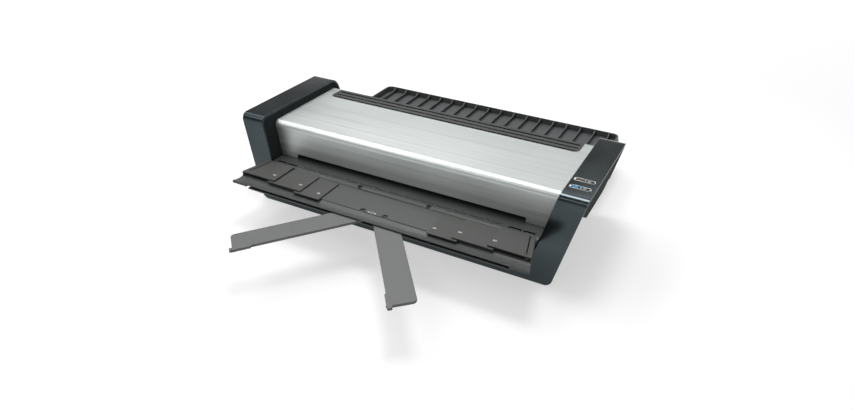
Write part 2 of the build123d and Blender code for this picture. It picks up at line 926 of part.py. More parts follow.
def cover_screws():
    screws = []
    for x, y in chassis_screw_places:
        z = foot_height + screw_head_height
        screw = rod_z(x, y, screw_head_radius, foot_height, z)
        screw += rod_z(x, y, screw_radius, z - overlap, floor_z + plate_sheet + screw_reach)
        screws.append(screw - driver_cross_z(x, y, foot_height))
    for x in (-rear_screw_x, rear_screw_x):
        back = rear_cover_back_y
        face = back + screw_head_height
        screw = rod_y(x, rear_screw_z, screw_head_radius, back, face)
        screw += rod_y(x, rear_screw_z, screw_radius, back - rear_screw_length, back + overlap)
        for dx, dz in ((cross_length, cross_width), (cross_width, cross_length)):
            screw -= box(x - dx / 2, x + dx / 2, face - cross_depth, face + past,
                         rear_screw_z - dz / 2, rear_screw_z + dz / 2)
        screws.append(screw)
    return group(screws)


def driver_cross_z(x, y, z):
    cross = Box(cross_length, cross_width, 2 * cross_depth) + Box(cross_width, cross_length, 2 * cross_depth)
    return Pos(x, y, z) * cross


# Entry table with the barrel that the feed tray turns on
def barrel_radius():
    return table_top_z - hinge_z


def entry_table():
    radius = barrel_radius()
    bottom = hinge_z - radius
    barrel = Pos(hinge_y, hinge_z) * Circle(radius)
    barrel += outline([
        (hinge_y, bottom),
        (channel_rear_y, bottom),
        (channel_rear_y, table_top_z),
        (hinge_y, table_top_z),
    ])
    hollow = Pos(hinge_y, hinge_z) * Circle(radius - barrel_wall)
    hollow += outline([
        (hinge_y, bottom + barrel_wall),
        (channel_rear_y - barrel_wall, bottom + barrel_wall),
        (channel_rear_y - barrel_wall, table_top_z - table_sheet),
        (hinge_y, table_top_z - table_sheet),
    ])
    sides = outline([
        (-inner_half(bottom) + table_side_gap, bottom, opening_corner_radius),
        (inner_half(bottom) - table_side_gap, bottom, opening_corner_radius),
        (inner_half(above) - table_side_gap, above),
        (-inner_half(above) + table_side_gap, above),
    ])
    table = along_x(barrel, -far, far) - along_x(hollow, -far, far)
    for x0, x1 in lug_spans:
        lug = rod_x(hinge_y, hinge_z, radius, x0, x1)
        lug += box(x0, x1, hinge_y, channel_rear_y - root, bottom, table_top_z)
        table += both_sides(lug)
    table &= along_y(sides, -far, far)
    plate = box(-far, far, channel_rear_y - root, table_neck_y, table_top_z - table_sheet, table_top_z)
    table += plate & wedge(inner_half, 0, above, -table_side_gap)
    neck_half = plate_x - table_neck_gap
    table += box(-neck_half, neck_half, table_neck_y - root, table_rear_y, table_top_z - table_sheet,
                 table_top_z)
    pin_hole = rod_x(hinge_y, hinge_z, hinge_pin_radius + running_gap, -far, far)
    for x0, x1 in knuckle_spans:
        room = rod_x(hinge_y, hinge_z, radius + knuckle_slot, x0 - knuckle_gap, x1 + knuckle_gap)
        room += box(x0 - knuckle_gap, x1 + knuckle_gap, hinge_y - 2 * radius, hinge_y, bottom - past,
                    table_top_z + past)
        table -= both_sides(room)
    table -= pin_hole
    for number in range(dash_count):
        x = dash_pitch * (number - (dash_count - 1) / 2)
        left = x - dash_length / 2
        table -= box(left, x + dash_length / 2, dash_y - dash_width / 2, dash_y + dash_width / 2,
                     table_top_z - dash_depth, above)
        table -= box(left, left + dash_tick, dash_y, dash_y + dash_width / 2 + dash_tick,
                     table_top_z - dash_depth, above)
    for x in (-table_screw_x, table_screw_x):
        post = rod_z(x, table_screw_y, screw_head_radius + table_post_wall, bottom, table_top_z)
        table += post & rod_x(hinge_y, hinge_z, radius, x - table_post_half, x + table_post_half)
        table -= rod_z(x, table_screw_y, screw_radius + screw_clear, 0, above)
        table -= rod_z(x, table_screw_y, screw_head_radius + screw_clear, table_screw_z, above)
    return table


def table_screws():
    screws = []
    for x in (-table_screw_x, table_screw_x):
        top = table_screw_z + screw_head_height
        screw = rod_z(x, table_screw_y, screw_head_radius, table_screw_z, top)
        end = hinge_z - barrel_radius() + past
        screw += rod_z(x, table_screw_y, screw_radius, end, table_screw_z + overlap)
        screws.append(screw - driver_cross_z(x, table_screw_y, top))
    return group(screws)


def feed_tray_hinge_pins():
    pin = rod_x(hinge_y, hinge_z, hinge_pin_radius, lug_spans[0][0], lug_spans[-1][1] + hinge_pin_end)
    return group([pin, mirrored(pin)])


# Feed tray
def tray_plan(y0, y1, inset=0.0):
    return outline([
        (-tray_end(y0) + inset, y0),
        (tray_end(y0) - inset, y0),
        (tray_end(y1) - inset, y1),
        (-tray_end(y1) + inset, y1),
    ])


def chin():
    """What is cut from under the front of the tray's closed ends, so that they rise to the lip."""
    front = tray_front_y + nose_setback + tray_wall
    corners = [
        (front - far, 0),
        (tray_chin_y, 0),
        (tray_chin_y, tray_bottom_z),
        (front, tray_chin_z),
        (front - far, tray_chin_z),
    ]
    return along_x(outline(corners), -far, far)


def feed_tray():
    top = tray_top_z
    under = top - tray_skin
    low_z = top - cove_drop
    lip_z = low_z + lip_rise
    lip_y = tray_front_y + lip_bevel
    return_y = tray_front_y + lip_return
    root_y = cove_rear_y + cove_root
    wall_y = tray_rear_y - tray_wall
    underside_z = low_z - lip_thickness
    corners = [
        (lip_y, lip_z),
        (tray_front_y, lip_z - lip_bevel),
        (tray_front_y, lip_z - lip_thickness),
        (return_y, underside_z),
        (cove_low_y, underside_z + cove_underside_rise),
        (root_y, under),
        (wall_y, under),
        (wall_y, tray_bottom_z),
        (tray_rear_y, tray_bottom_z),
        (tray_rear_y, top - tray_rear_bevel),
        (tray_rear_y - tray_rear_bevel, top),
        (cove_rear_y, top),
        (cove_rear_y, top - cove_step),
    ]
    edges = [Line(start, end) for start, end in zip(corners, corners[1:])]
    edges.append(ThreePointArc(corners[-1], (cove_low_y, low_z), corners[0]))
    tray = along_x(make_face(edges), -far, far)
    tray &= along_z(tray_plan(tray_front_y - past, tray_rear_y + past), 0, above)
    end_top = under + root
    for side in (-1, 1):
        front = tray_front_y + tray_base_inset
        wall = outline([
            (side * tray_end(front), front),
            (side * tray_end(tray_rear_y), tray_rear_y),
            (side * (tray_end(tray_rear_y) - tray_wall), tray_rear_y),
            (side * (tray_end(front) - tray_wall), front),
        ])
        tray += along_z(wall, tray_bottom_z, tray_top_z - cove_drop - lip_thickness / 2) - chin()
        seat = along_z(wall, end_top - tray_seat_depth, end_top)
        tray += seat & box(-far, far, cove_rear_y + tray_wall, tray_rear_y, 0, above)
    nose_front = tray_front_y + nose_setback
    nose = box(arm_slot_half + seam, far, nose_front, nose_front + tray_wall, tray_chin_z,
               low_z - lip_thickness / 2)
    tray += both_sides(nose) & along_z(tray_plan(tray_front_y, tray_rear_y), 0, above)
    for x0, x1 in knuckle_spans:
        knuckle = rod_x(hinge_y, hinge_z, barrel_radius() - knuckle_clear, x0, x1)
        knuckle += box(x0, x1, tray_rear_y - tray_wall, hinge_y, hinge_z - knuckle_neck,
                       hinge_z + knuckle_neck)
        tray += both_sides(knuckle)
    tray -= rod_x(hinge_y, hinge_z, hinge_pin_radius + running_gap, -far, far)
    for x in (-arm_pivot_x, arm_pivot_x):
        tray += rod_z(x, arm_pivot_y, arm_pin_radius + pivot_boss_wall, arm_top_z + guide_gap,
                      under + root)
        tray -= rod_z(x, arm_pivot_y, screw_radius + screw_clear, 0, above)
        tray -= rod_z(x, arm_pivot_y, screw_head_radius + tray_screw_clear,
                      top - tray_screw_depth - screw_head_height, above)
    return tray


def feed_tray_base():
    rear = tray_rear_y - tray_wall - seam
    front = tray_front_y + tray_base_inset
    sheet = along_z(tray_plan(front, rear, tray_wall + seam), tray_bottom_z, tray_bottom_z + tray_base_sheet)
    floor_top = tray_bottom_z + tray_base_sheet
    for x in (-arm_pivot_x, arm_pivot_x):
        sheet += rod_z(x, arm_pivot_y, arm_pin_radius + pivot_boss_wall, floor_top - root,
                       arm_bottom_z - guide_gap)
        sheet += rod_z(x, arm_pivot_y, arm_pin_radius - running_gap, floor_top - root,
                       arm_top_z + guide_gap - close_gap)
        sheet -= rod_z(x, arm_pivot_y, screw_radius + running_gap, floor_top - root, above)
    for side in (-1, 1):
        stop = outline([
            (side * arm_slot_half, front),
            (side * (tray_end(front) - tray_wall - seam), front),
            (side * (tray_end(rear) - tray_wall - seam), rear),
            (side * arm_slot_half, rear),
        ])
        sheet += along_z(stop, tray_bottom_z, tray_top_z - cove_drop - lip_thickness - guide_gap)
    ends = box(arm_slot_half, far, -far, tray_chin_y, 0, above)
    return sheet - (chin() & both_sides(ends))


def arm_pivot_screws():
    screws = []
    head_top = tray_top_z - tray_screw_depth
    head_low = head_top - screw_head_height
    for x in (-arm_pivot_x, arm_pivot_x):
        screw = rod_z(x, arm_pivot_y, screw_head_radius, head_low, head_top)
        screw += rod_z(x, arm_pivot_y, screw_radius, tray_bottom_z + tray_base_sheet, head_low + overlap)
        screws.append(screw - driver_cross_z(x, arm_pivot_y, head_top))
    return group(screws)


# Paper guides
def outer_guide():
    """Fixed right-hand guide: a shelf on a rear wall and an end wall, over the sliding ones."""
    front = outer_guide_front_y
    rear = tray_rear_y
    top = outer_guide_top_z
    under = top - guide_cover_sheet
    low = tray_top_z
    shelf = outline([
        (outer_guide_edge, front),
        (tray_end(front), front),
        (tray_end(rear), rear),
        (outer_guide_edge, rear),
    ])
    guide = along_z(shelf, under, top)
    rear_wall = box(outer_guide_edge, far, rear - guide_wall, rear, low, top)
    rear_wall &= along_z(tray_plan(front, rear + past), 0, above)
    end_wall = outline([
        (tray_end(front) - guide_end_wall, front),
        (tray_end(front), front),
        (tray_end(rear), rear),
        (tray_end(rear) - guide_end_wall, rear),
    ])
    guide += rear_wall + along_z(end_wall, low, top)
    slot_rear = rear - guide_wall - guide_slot_rear_gap
    slot_front = front + guide_slot_front_gap
    inset = guide_slot_inset
    slot = outline([
        (tray_end(slot_front) - inset - guide_slot_width, slot_front),
        (tray_end(slot_front) - inset, slot_front),
        (tray_end(slot_rear) - inset, slot_rear),
        (tray_end(slot_rear) - inset - guide_slot_width, slot_rear),
    ])
    guide -= along_z(slot, under - past, top + past)
    return guide


def sliding_guide(edge, front, outer_at_rear, slope, z0):
    """Flat right-hand guide plate that slides along X under the one outside it."""
    rear = guide_rear_y
    outer_front = outer_at_rear + slope * (rear - front)
    plate = outline([
        (edge, front, guide_corner_radius),
        (outer_front, front),
        (outer_at_rear, rear),
        (edge, rear),
    ])
    return along_z(plate, z0, z0 + guide_sheet)


def middle_guide():
    reach = tray_end(guide_rear_y) - guide_end_wall - seam
    return sliding_guide(middle_guide_edge, middle_guide_front_y, reach - middle_guide_travel, side_slope,
                         middle_guide_z)


def inner_guide():
    return sliding_guide(inner_guide_edge, inner_guide_front_y, middle_guide_edge + guide_overlap, 0.0,
                         inner_guide_z)


# Swing arms
def support_arm():
    """Right-hand arm, drawn pointing along -Y from its pivot, then turned out."""
    half = arm_width / 2
    end = -arm_length
    skew = arm_end_skew
    face = outline([
        (-half - arm_pad_width, end - skew, arm_pad_radius),
        (half, end + skew, arm_end_radius),
        (half, 0),
        (-half, 0),
        (-half, end - skew + arm_pad_length),
        (-half - arm_pad_width, end - skew + arm_pad_length),
    ])
    arm = along_z(face, arm_bottom_z, arm_top_z)
    arm += rod_z(0, 0, half, arm_bottom_z, arm_top_z)
    hook = outline([
        (-half - arm_pad_width, end - skew - arm_hook, arm_hook_radius),
        (-half + arm_hook_width, end - skew - arm_hook + arm_hook_skew, arm_hook_inner_radius),
        (-half + arm_hook_width, end),
        (-half - arm_pad_width, end),
    ])
    arm += along_z(hook, arm_bottom_z, arm_top_z)
    arm -= rod_z(0, 0, arm_pin_radius + running_gap, 0, above)
    return Pos(arm_pivot_x, arm_pivot_y, 0) * Rot(0, 0, arm_open_angle) * arm


# Exit tray
def exit_tray():
    low = exit_bottom_z
    top = exit_rim_z
    neck = exit_neck_y
    wide = exit_wide_y
    plan = outline([
        (-exit_neck_half, neck),
        (exit_neck_half, neck),
        (exit_neck_half, wide),
        (exit_half, wide, exit_shoulder_radius),
        (exit_half, exit_rear_y, exit_corner_radius),
        (-exit_half, exit_rear_y, exit_corner_radius),
        (-exit_half, wide, exit_shoulder_radius),
        (-exit_neck_half, wide),
    ])
    wall = exit_wall
    inside = outline([
        (-exit_neck_half + wall, neck - past),
        (exit_neck_half - wall, neck - past),
        (exit_neck_half - wall, wide + wall),
        (exit_half - wall, wide + wall),
        (exit_half - wall, exit_rear_y - wall, exit_corner_radius - wall),
        (-exit_half + wall, exit_rear_y - wall, exit_corner_radius - wall),
        (-exit_half + wall, wide + wall),
        (-exit_neck_half + wall, wide + wall),
    ])
    tray = along_z(plan, low, top) - along_z(inside, low + exit_floor, above)
    side = [
        (exit_half - wall, low),
        (exit_half + side_slope * exit_height, low),
        (exit_half, top),
        (exit_half - wall, top),
    ]
    flare = along_y(outline(side), wide, exit_rear_y - exit_corner_radius)
    tray += both_sides(flare)
    for number in range(exit_rib_pairs):
        x = exit_rib_pitch * (number + 0.5)
        start = neck if x < exit_neck_half - exit_arm_sheet - wall else wide
        rib_low = low + exit_floor - root
        head = exit_rear_y - wall - exit_rib_head
        rib = outline([
            (start, rib_low),
            (exit_rear_y - wall / 2, rib_low),
            (exit_rear_y - wall / 2, top),
            (head, top - exit_rib_head_drop, exit_rib_radius),
            (head - exit_rib_slope, low + exit_rib_height, exit_rib_foot_radius),
            (start, low + exit_rib_height, exit_rib_radius),
        ])
        tray += both_sides(along_x(rib, x - exit_rib_sheet / 2, x + exit_rib_sheet / 2))
    arm = rod_x(exit_hinge_y, exit_hinge_z, exit_arm_round, exit_neck_half - exit_arm_sheet, exit_neck_half)
    arm += box(exit_neck_half - exit_arm_sheet, exit_neck_half, exit_hinge_y - exit_arm_width / 2,
               exit_hinge_y + exit_arm_width / 2, low, exit_hinge_z)
    tray += both_sides(arm)
    tray -= rod_x(exit_hinge_y, exit_hinge_z, exit_pin_radius + running_gap, -far, far)
    return tray


def exit_tray_pins():
    x0 = exit_neck_half - exit_arm_sheet
    pin = rod_x(exit_hinge_y, exit_hinge_z, exit_pin_radius, x0, inner_half(exit_hinge_z) + housing_wall)
    return group([pin, mirrored(pin)])


# Rollers, bushes and heaters
def roller_sleeve(y, z):
    sleeve = rod_x(y, z, roller_radius, -roller_half, roller_half)
    return sleeve - rod_x(y, z, shaft_radius + bond_gap, -far, far)


def roller_shaft(y, z):
    return rod_x(y, z, shaft_radius, shaft_left_x, shaft_right_x)


def roller_bushes():
    bushes = []
    for y, z in roller_places:
        for side in (-1, 1):
            x0 = plate_x - bush_reach_in
            x1 = plate_x + plate_sheet + bush_reach_out
            bush = rod_x(y, z, bush_radius, x0, x1)
            flange_x = plate_x + plate_sheet + close_gap
            bush += rod_x(y, z, bush_flange_radius, flange_x, flange_x + bush_flange_width)
            bush -= rod_x(y, z, shaft_radius + running_gap, x0 - past, x1 + past)
            bushes.append(bush if side > 0 else mirrored(bush))
    return group(bushes)


def heating_plate(z0, fins_up):
    y0 = idler_y - heater_length / 2
    y1 = idler_y + heater_length / 2
    half = plate_x - heater_end_gap
    plate = box(-half, half, y0, y1, z0, z0 + heater_thickness)
    middle = z0 + heater_thickness / 2
    groove = (middle, z0 + heater_thickness + past) if fins_up else (z0 - past, middle)
    for number in range(fin_count):
        y = y0 + heater_length / fin_count * (number + 0.5)
        plate -= box(-roller_half, roller_half, y - fin_gap / 2, y + fin_gap / 2, *groove)
    return plate


def thermal_fuse():
    z = feed_plane_z + heater_gap / 2 + heater_thickness
    base_top = z + fuse_base_height
    base_half = fuse_base_length / 2
    body = box(fuse_x - base_half, fuse_x + base_half, idler_y - fuse_can_radius, idler_y + fuse_can_radius,
               z, base_top)
    body += rod_z(fuse_x, idler_y, fuse_can_radius, base_top - overlap, z + fuse_can_height)
    for x in (fuse_x - fuse_tab_x, fuse_x + fuse_tab_x):
        body += box(x - fuse_tab_sheet / 2, x + fuse_tab_sheet / 2, idler_y - fuse_tab_width / 2,
                    idler_y + fuse_tab_width / 2, base_top - overlap, z + fuse_tab_height)
    return body


def side_plate():
    """Right-hand plate of the inner chassis."""
    x0 = plate_x
    x1 = plate_x + plate_sheet
    low = floor_z + close_gap
    plate = box(x0, x1, plate_front_y, plate_rear_y, low, plate_top_z)
    for y in (plate_front_y, plate_rear_y - plate_foot_length):
        plate += box(x0 - plate_foot, x1, y, y + plate_foot_length, low, low + plate_sheet)
    for y, z in roller_places:
        plate -= rod_x(y, z, bush_radius + running_gap, x0 - past, x1 + past)
        if z > feed_plane_z:
            slot_half = bush_radius + running_gap
            plate -= box(x0 - past, x1 + past, y - slot_half, y + slot_half, z, spring_top_z)
    for y, z in tie_rod_places:
        plate -= rod_x(y, z, tie_screw_radius + running_gap, x0 - past, x1 + past)
    return plate


def drilled_for_screws(plate):
    for x, y in chassis_screw_places:
        plate -= rod_z(x, y, screw_radius + running_gap, 0, floor_z + 2 * plate_sheet)
    return plate


def right_side_plate():
    plate = side_plate()
    x0 = plate_x - past
    x1 = plate_x + plate_sheet + past
    plate -= rod_x(idler_y, motor_z, motor_boss_hole, x0, x1)
    plate -= rod_x(idler_y, lower_roller_z, stud_neck_radius + running_gap, x0, x1)
    return drilled_for_screws(plate)


def left_side_plate():
    return drilled_for_screws(mirrored(side_plate()))


def tie_rods():
    rods = []
    for y, z in tie_rod_places:
        rod = rod_x(y, z, tie_rod_radius, -plate_x, plate_x)
        end = plate_x + plate_sheet + tie_screw_reach
        rod += rod_x(y, z, tie_screw_radius, -end, end)
        rods.append(rod)
    return group(rods)


def pressure_springs():
    springs = []
    x = plate_x + plate_sheet / 2
    for y, z in roller_places:
        if z > feed_plane_z:
            for side in (-1, 1):
                z1 = spring_top_z - close_gap
                z0 = z1 - spring_height
                tube = rod_z(side * x, y, spring_radius, z0, z1)
                springs.append(tube - rod_z(side * x, y, spring_radius - spring_wire, z0 - past, z1 + past))
    return group(springs)


# Gears
def involute_point(base, radius, start):
    roll = sqrt(max(0.0, (radius / base) ** 2 - 1))
    return start + roll - atan2(roll, 1.0)


def gear_face(teeth, phase):
    """Spur gear outline in (Y, Z), with one tooth's middle at the phase angle."""
    pitch_r = gear_module * teeth / 2
    base = pitch_r * cos(pressure_angle)
    tip = pitch_r + addendum_share * gear_module
    foot = pitch_r - dedendum_share * gear_module
    half_tooth = (pi * gear_module - gear_backlash) / 2 / pitch_r / 2
    start = -half_tooth - involute_point(base, pitch_r, 0.0)
    low = max(base, foot)
    flank = []
    if foot < base:
        flank.append((foot, start))
    for step in range(flank_steps + 1):
        radius = low + (tip - low) * step / flank_steps
        flank.append((radius, start + involute_point(base, radius, 0.0)))
    points = []
    for tooth in range(teeth):
        centre = phase + 2 * pi * tooth / teeth
        for radius, angle in flank:
            points.append((radius * cos(centre + angle), radius * sin(centre + angle)))
        for radius, angle in reversed(flank):
            points.append((radius * cos(centre - angle), radius * sin(centre - angle)))
    return make_face(Polyline(*points, close=True))


def mesh_phase(from_teeth, from_phase, to_teeth, direction):
    """Phase of a gear that meshes with another, seen from it along direction."""
    step = 2 * pi / from_teeth
    offset_angle = (direction - from_phase) % step
    shift = (offset_angle * from_teeth - pi) / to_teeth
    return direction + pi + shift


def gear(teeth, phase, y, z, bore):
    body = along_x(Pos(y, z) * gear_face(teeth, phase), gear_x, gear_x + gear_width)
    return body - rod_x(y, z, bore, gear_x - past, gear_x + gear_width + past)


def gear_phases():
    lower_front = 0.0
    upper_front = mesh_phase(gear_teeth, lower_front, gear_teeth, pi / 2)
    idler = mesh_phase(gear_teeth, lower_front, idler_teeth, 0.0)
    lower_rear = mesh_phase(idler_teeth, idler, gear_teeth, 0.0)
    upper_rear = mesh_phase(gear_teeth, lower_rear, gear_teeth, pi / 2)
    pinion = mesh_phase(idler_teeth, idler, pinion_teeth, -pi / 2)
    return lower_front, upper_front, idler, lower_rear, upper_rear, pinion


def idler_stud():
    x0 = plate_x + plate_sheet
    gear_end = gear_x + gear_width
    clip_end = gear_end + stud_clip_end
    stud = rod_x(idler_y, lower_roller_z, stud_radius, x0, clip_end)
    stud += rod_x(idler_y, lower_roller_z, stud_neck_radius, plate_x - stud_neck_length, x0 + past)
    stud += rod_x(idler_y, lower_roller_z, stud_collar_radius, x0, gear_x - seam)
    return stud + rod_x(idler_y, lower_roller_z, stud_clip_radius, gear_end + seam, clip_end)


def motor_body():
    x1 = plate_x - close_gap
    x0 = x1 - motor_length
    body = rod_x(idler_y, motor_z, motor_radius, x0, x1)
    body += rod_x(idler_y, motor_z, motor_boss_radius, x1 - past, plate_x + plate_sheet + motor_boss_reach)
    body += rod_x(idler_y, motor_z, motor_cap_radius, x0 - motor_cap_length, x0 + past)
    bore_start = x1 - motor_shaft_depth - past
    return body - rod_x(idler_y, motor_z, motor_shaft_radius + running_gap, bore_start, far)


def motor_pinion(phase):
    x1 = plate_x - close_gap
    gear_end = gear_x + gear_width
    body = along_x(Pos(idler_y, motor_z) * gear_face(pinion_teeth, phase), gear_x, gear_end)
    shaft_end = gear_end + motor_shaft_end
    return body + rod_x(idler_y, motor_z, motor_shaft_radius, x1 - motor_shaft_depth, shaft_end)


# Boards
def control_board():
    top = body_height - shell_gap + close_gap
    under = top - board_sheet
    x0 = inner_half(top) + housing_wall + board_side_gap
    x1 = outer_half(pod_slant_top_z) - pod_inset - housing_wall
    y0 = strip_front_y - strip_width
    board = box(x0, x1, y0, y0 + control_board_length, under, top)
    for x, y, width, depth, height in control_board_parts:
        board += box(x0 + x, x0 + x + width, y0 + y, y0 + y + depth, under - height, under + overlap)
    return board


def power_board():
    width, depth = power_board_size
    cx, cy = power_board_centre
    z0 = floor_z + standoff_height
    z1 = z0 + board_sheet
    board = box(cx - width / 2, cx + width / 2, cy - depth / 2, cy + depth / 2, z0, z1)
    for x, y, w, d, height in power_board_parts:
        board += box(cx + x, cx + x + w, cy + y, cy + y + d, z1 - overlap, z1 + height)
    for number in range(capacitor_count):
        x = cx + capacitor_place[0] + capacitor_pitch * number
        board += rod_z(x, cy + capacitor_place[1], capacitor_radius, z1 - overlap, z1 + capacitor_height)
    return board


# Places and sizes worked out from the values above
rocker_half_width = switch_width / 2 - rocker_side_gap
rocker_half_height = switch_height / 2 - rocker_end_gap
rocker_axis_y = rear_cover_back_y - rocker_axis_depth
fan_centre_z = floor_z + fan_size / 2 + fan_floor_gap
foot_x = inner_half(0) - foot_inset_x
foot_places = [(x, y) for x in (-foot_x, foot_x) for y in (foot_front_y, foot_rear_y)]
roller_places = [(y, z) for y in (front_roller_y, rear_roller_y) for z in (lower_roller_z, upper_roller_z)]
tie_rod_places = [
    (plate_front_y + tie_rod_inset, tie_rod_low_z),
    (plate_rear_y - tie_rod_inset, tie_rod_low_z),
    (idler_y, tie_rod_high_z),
]
chassis_screw_places = [
    (side * (plate_x - plate_foot / 2), y)
    for side in (-1, 1)
    for y in (plate_front_y + plate_foot_length / 2, plate_rear_y - plate_foot_length / 2)
]
standoff_dx = power_board_size[0] / 2 - standoff_inset
standoff_dy = power_board_size[1] / 2 - standoff_inset
standoff_places = [
    (power_board_centre[0] + dx, power_board_centre[1] + dy)
    for dx in (-standoff_dx, standoff_dx)
    for dy in (-standoff_dy, standoff_dy)
]
spring_top_z = upper_roller_z + bush_flange_radius + spring_height + seam
plate_top_z = spring_top_z + plate_top_margin
lug_spans = (
    (knuckle_spans[0][0] - knuckle_gap - lug_width, knuckle_spans[0][0] - knuckle_gap),
    (knuckle_spans[0][1] + knuckle_gap, knuckle_spans[1][0] - knuckle_gap),
    (knuckle_spans[1][1] + knuckle_gap, knuckle_spans[1][1] + knuckle_gap + lug_width),
)
barrel_top_z = hinge_z + sqrt((table_top_z - hinge_z) ** 2 - (hinge_y - table_screw_y) ** 2)
table_screw_z = barrel_top_z - table_screw_depth - screw_head_height
tray_rear_y = hinge_y - (table_top_z - hinge_z) - tray_barrel_gap
arm_top_z = arm_bottom_z + arm_sheet
inner_guide_z = tray_top_z + guide_gap
middle_guide_z = inner_guide_z + guide_sheet + guide_gap
outer_guide_top_z = middle_guide_z + guide_sheet + guide_gap + guide_cover_sheet
middle_guide_travel = outer_guide_edge - middle_guide_edge
exit_neck_y = exit_hinge_y - exit_arm_width / 2


def all_pieces():
    right_housing = side_housing()
    right_arm = support_arm()
    outer = outer_guide()
    middle = middle_guide()
    inner = inner_guide()
    lower_front, upper_front, idler, lower_rear, upper_rear, pinion = gear_phases()
    gear_bore = shaft_radius + bond_gap
    return {
        "front_frame": front_frame(),
        "left_side_housing": mirrored(right_housing),
        "right_side_housing": right_housing,
        "top_cover": top_cover(),
        "top_grille": top_grille(),
        "rear_cover": rear_cover(),
        "base_pan": base_pan(),
        "rubber_feet": rubber_feet(),
        "cover_screws": cover_screws(),
        "entry_table": entry_table(),
        "table_screws": table_screws(),
        "feed_tray_hinge_pins": feed_tray_hinge_pins(),
        "mode_touch_strip": touch_strip(0),
        "power_touch_strip": touch_strip(1),
        "control_board": control_board(),
        "power_board": power_board(),
        "mains_inlet": mains_inlet(),
        "switch_housing": switch_housing(),
        "switch_rocker": switch_rocker(),
        "fan_frame": fan_frame(),
        "fan_impeller": fan_impeller(),
        "left_side_plate": left_side_plate(),
        "right_side_plate": right_side_plate(),
        "tie_rods": tie_rods(),
        "roller_bushes": roller_bushes(),
        "pressure_springs": pressure_springs(),
        "upper_heating_plate": heating_plate(feed_plane_z + heater_gap / 2, True),
        "lower_heating_plate": heating_plate(feed_plane_z - heater_gap / 2 - heater_thickness, False),
        "thermal_fuse": thermal_fuse(),
        "front_lower_roller": roller_sleeve(front_roller_y, lower_roller_z),
        "front_lower_shaft": roller_shaft(front_roller_y, lower_roller_z),
        "front_lower_gear": gear(gear_teeth, lower_front, front_roller_y, lower_roller_z, gear_bore),
        "front_upper_roller": roller_sleeve(front_roller_y, upper_roller_z),
        "front_upper_shaft": roller_shaft(front_roller_y, upper_roller_z),
        "front_upper_gear": gear(gear_teeth, upper_front, front_roller_y, upper_roller_z, gear_bore),
        "rear_lower_roller": roller_sleeve(rear_roller_y, lower_roller_z),
        "rear_lower_shaft": roller_shaft(rear_roller_y, lower_roller_z),
        "rear_lower_gear": gear(gear_teeth, lower_rear, rear_roller_y, lower_roller_z, gear_bore),
        "rear_upper_roller": roller_sleeve(rear_roller_y, upper_roller_z),
        "rear_upper_shaft": roller_shaft(rear_roller_y, upper_roller_z),
        "rear_upper_gear": gear(gear_teeth, upper_rear, rear_roller_y, upper_roller_z, gear_bore),
        "idler_gear": gear(idler_teeth, idler, idler_y, lower_roller_z, stud_radius + running_gap),
        "idler_stud": idler_stud(),
        "motor_body": motor_body(),
        "motor_pinion": motor_pinion(pinion),
        "feed_tray": feed_tray(),
        "feed_tray_base": feed_tray_base(),
        "arm_pivot_screws": arm_pivot_screws(),
        "right_outer_guide": outer,
        "left_outer_guide": mirrored(outer),
        "right_middle_guide": middle,
        "left_middle_guide": mirrored(middle),
        "right_inner_guide": inner,
        "left_inner_guide": mirrored(inner),
        "right_support_arm": right_arm,
        "left_support_arm": mirrored(right_arm),
        "exit_tray": exit_tray(),
        "exit_tray_pins": exit_tray_pins(),
    }


pieces = all_pieces()
front_reach = pieces["right_support_arm"].bounding_box().min.Y
rear_reach = pieces["exit_tray"].bounding_box().max.Y
origin_y = (front_reach + rear_reach) / 2
os.makedirs("parts", exist_ok=True)
for name, piece in pieces.items():
    export_step(Pos(0, -origin_y, 0) * piece, f"parts/{name}.step")
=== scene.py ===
import math

import bmesh
import bpy
from mathutils import Matrix, Vector


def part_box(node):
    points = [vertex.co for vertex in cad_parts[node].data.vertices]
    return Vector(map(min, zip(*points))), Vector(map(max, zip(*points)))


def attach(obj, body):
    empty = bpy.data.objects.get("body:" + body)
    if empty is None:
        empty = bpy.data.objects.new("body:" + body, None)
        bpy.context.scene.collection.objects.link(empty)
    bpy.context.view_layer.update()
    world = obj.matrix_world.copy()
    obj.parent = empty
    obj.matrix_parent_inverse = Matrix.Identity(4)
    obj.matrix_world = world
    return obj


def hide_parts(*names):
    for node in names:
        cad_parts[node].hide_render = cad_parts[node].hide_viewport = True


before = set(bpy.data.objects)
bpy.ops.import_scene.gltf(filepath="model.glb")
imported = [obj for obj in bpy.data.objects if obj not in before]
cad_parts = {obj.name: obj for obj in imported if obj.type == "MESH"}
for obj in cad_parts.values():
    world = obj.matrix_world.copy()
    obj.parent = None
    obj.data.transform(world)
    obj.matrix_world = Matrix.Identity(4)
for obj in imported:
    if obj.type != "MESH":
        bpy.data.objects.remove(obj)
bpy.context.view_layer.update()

bl_info = {
    "name": "Wide desktop laminator",
    "version": (1, 0, 0),
    "blender": (4, 5, 0),
    "location": "3D View > Sidebar > Laminator",
    "description": "Finishes, printed marks and small fittings of a laminator with hinged trays",
    "category": "Object",
}

MM = 0.001
SIDES = ("left", "right")
GUIDES = [f"{side}_{step}_guide" for side in SIDES for step in ("outer", "middle", "inner")]

# How large a smudge is on each surface, and how far the wear of an edge reaches
PLASTIC_PATCH = 45 * MM
LACQUER_PATCH = 70 * MM
SILVER_PATCH = 90 * MM
RUBBER_PATCH = 20 * MM
PLASTIC_EDGE = 0.7 * MM
LACQUER_EDGE = 0.8 * MM
SILVER_EDGE = 0.6 * MM
METAL_EDGE = 0.4 * MM

# Moulded plastic: painted shade in its corners, and how much rougher a smudge is
CORNER_REACH = 4.0 * MM
PAINTED_CORNER_SHADE = 0.6
SMUDGE_ROUGHNESS = 0.08

# Range of the brushed lines' tone that is spread from dark to light
DARK_LINE = 0.36
LIGHT_LINE = 0.64

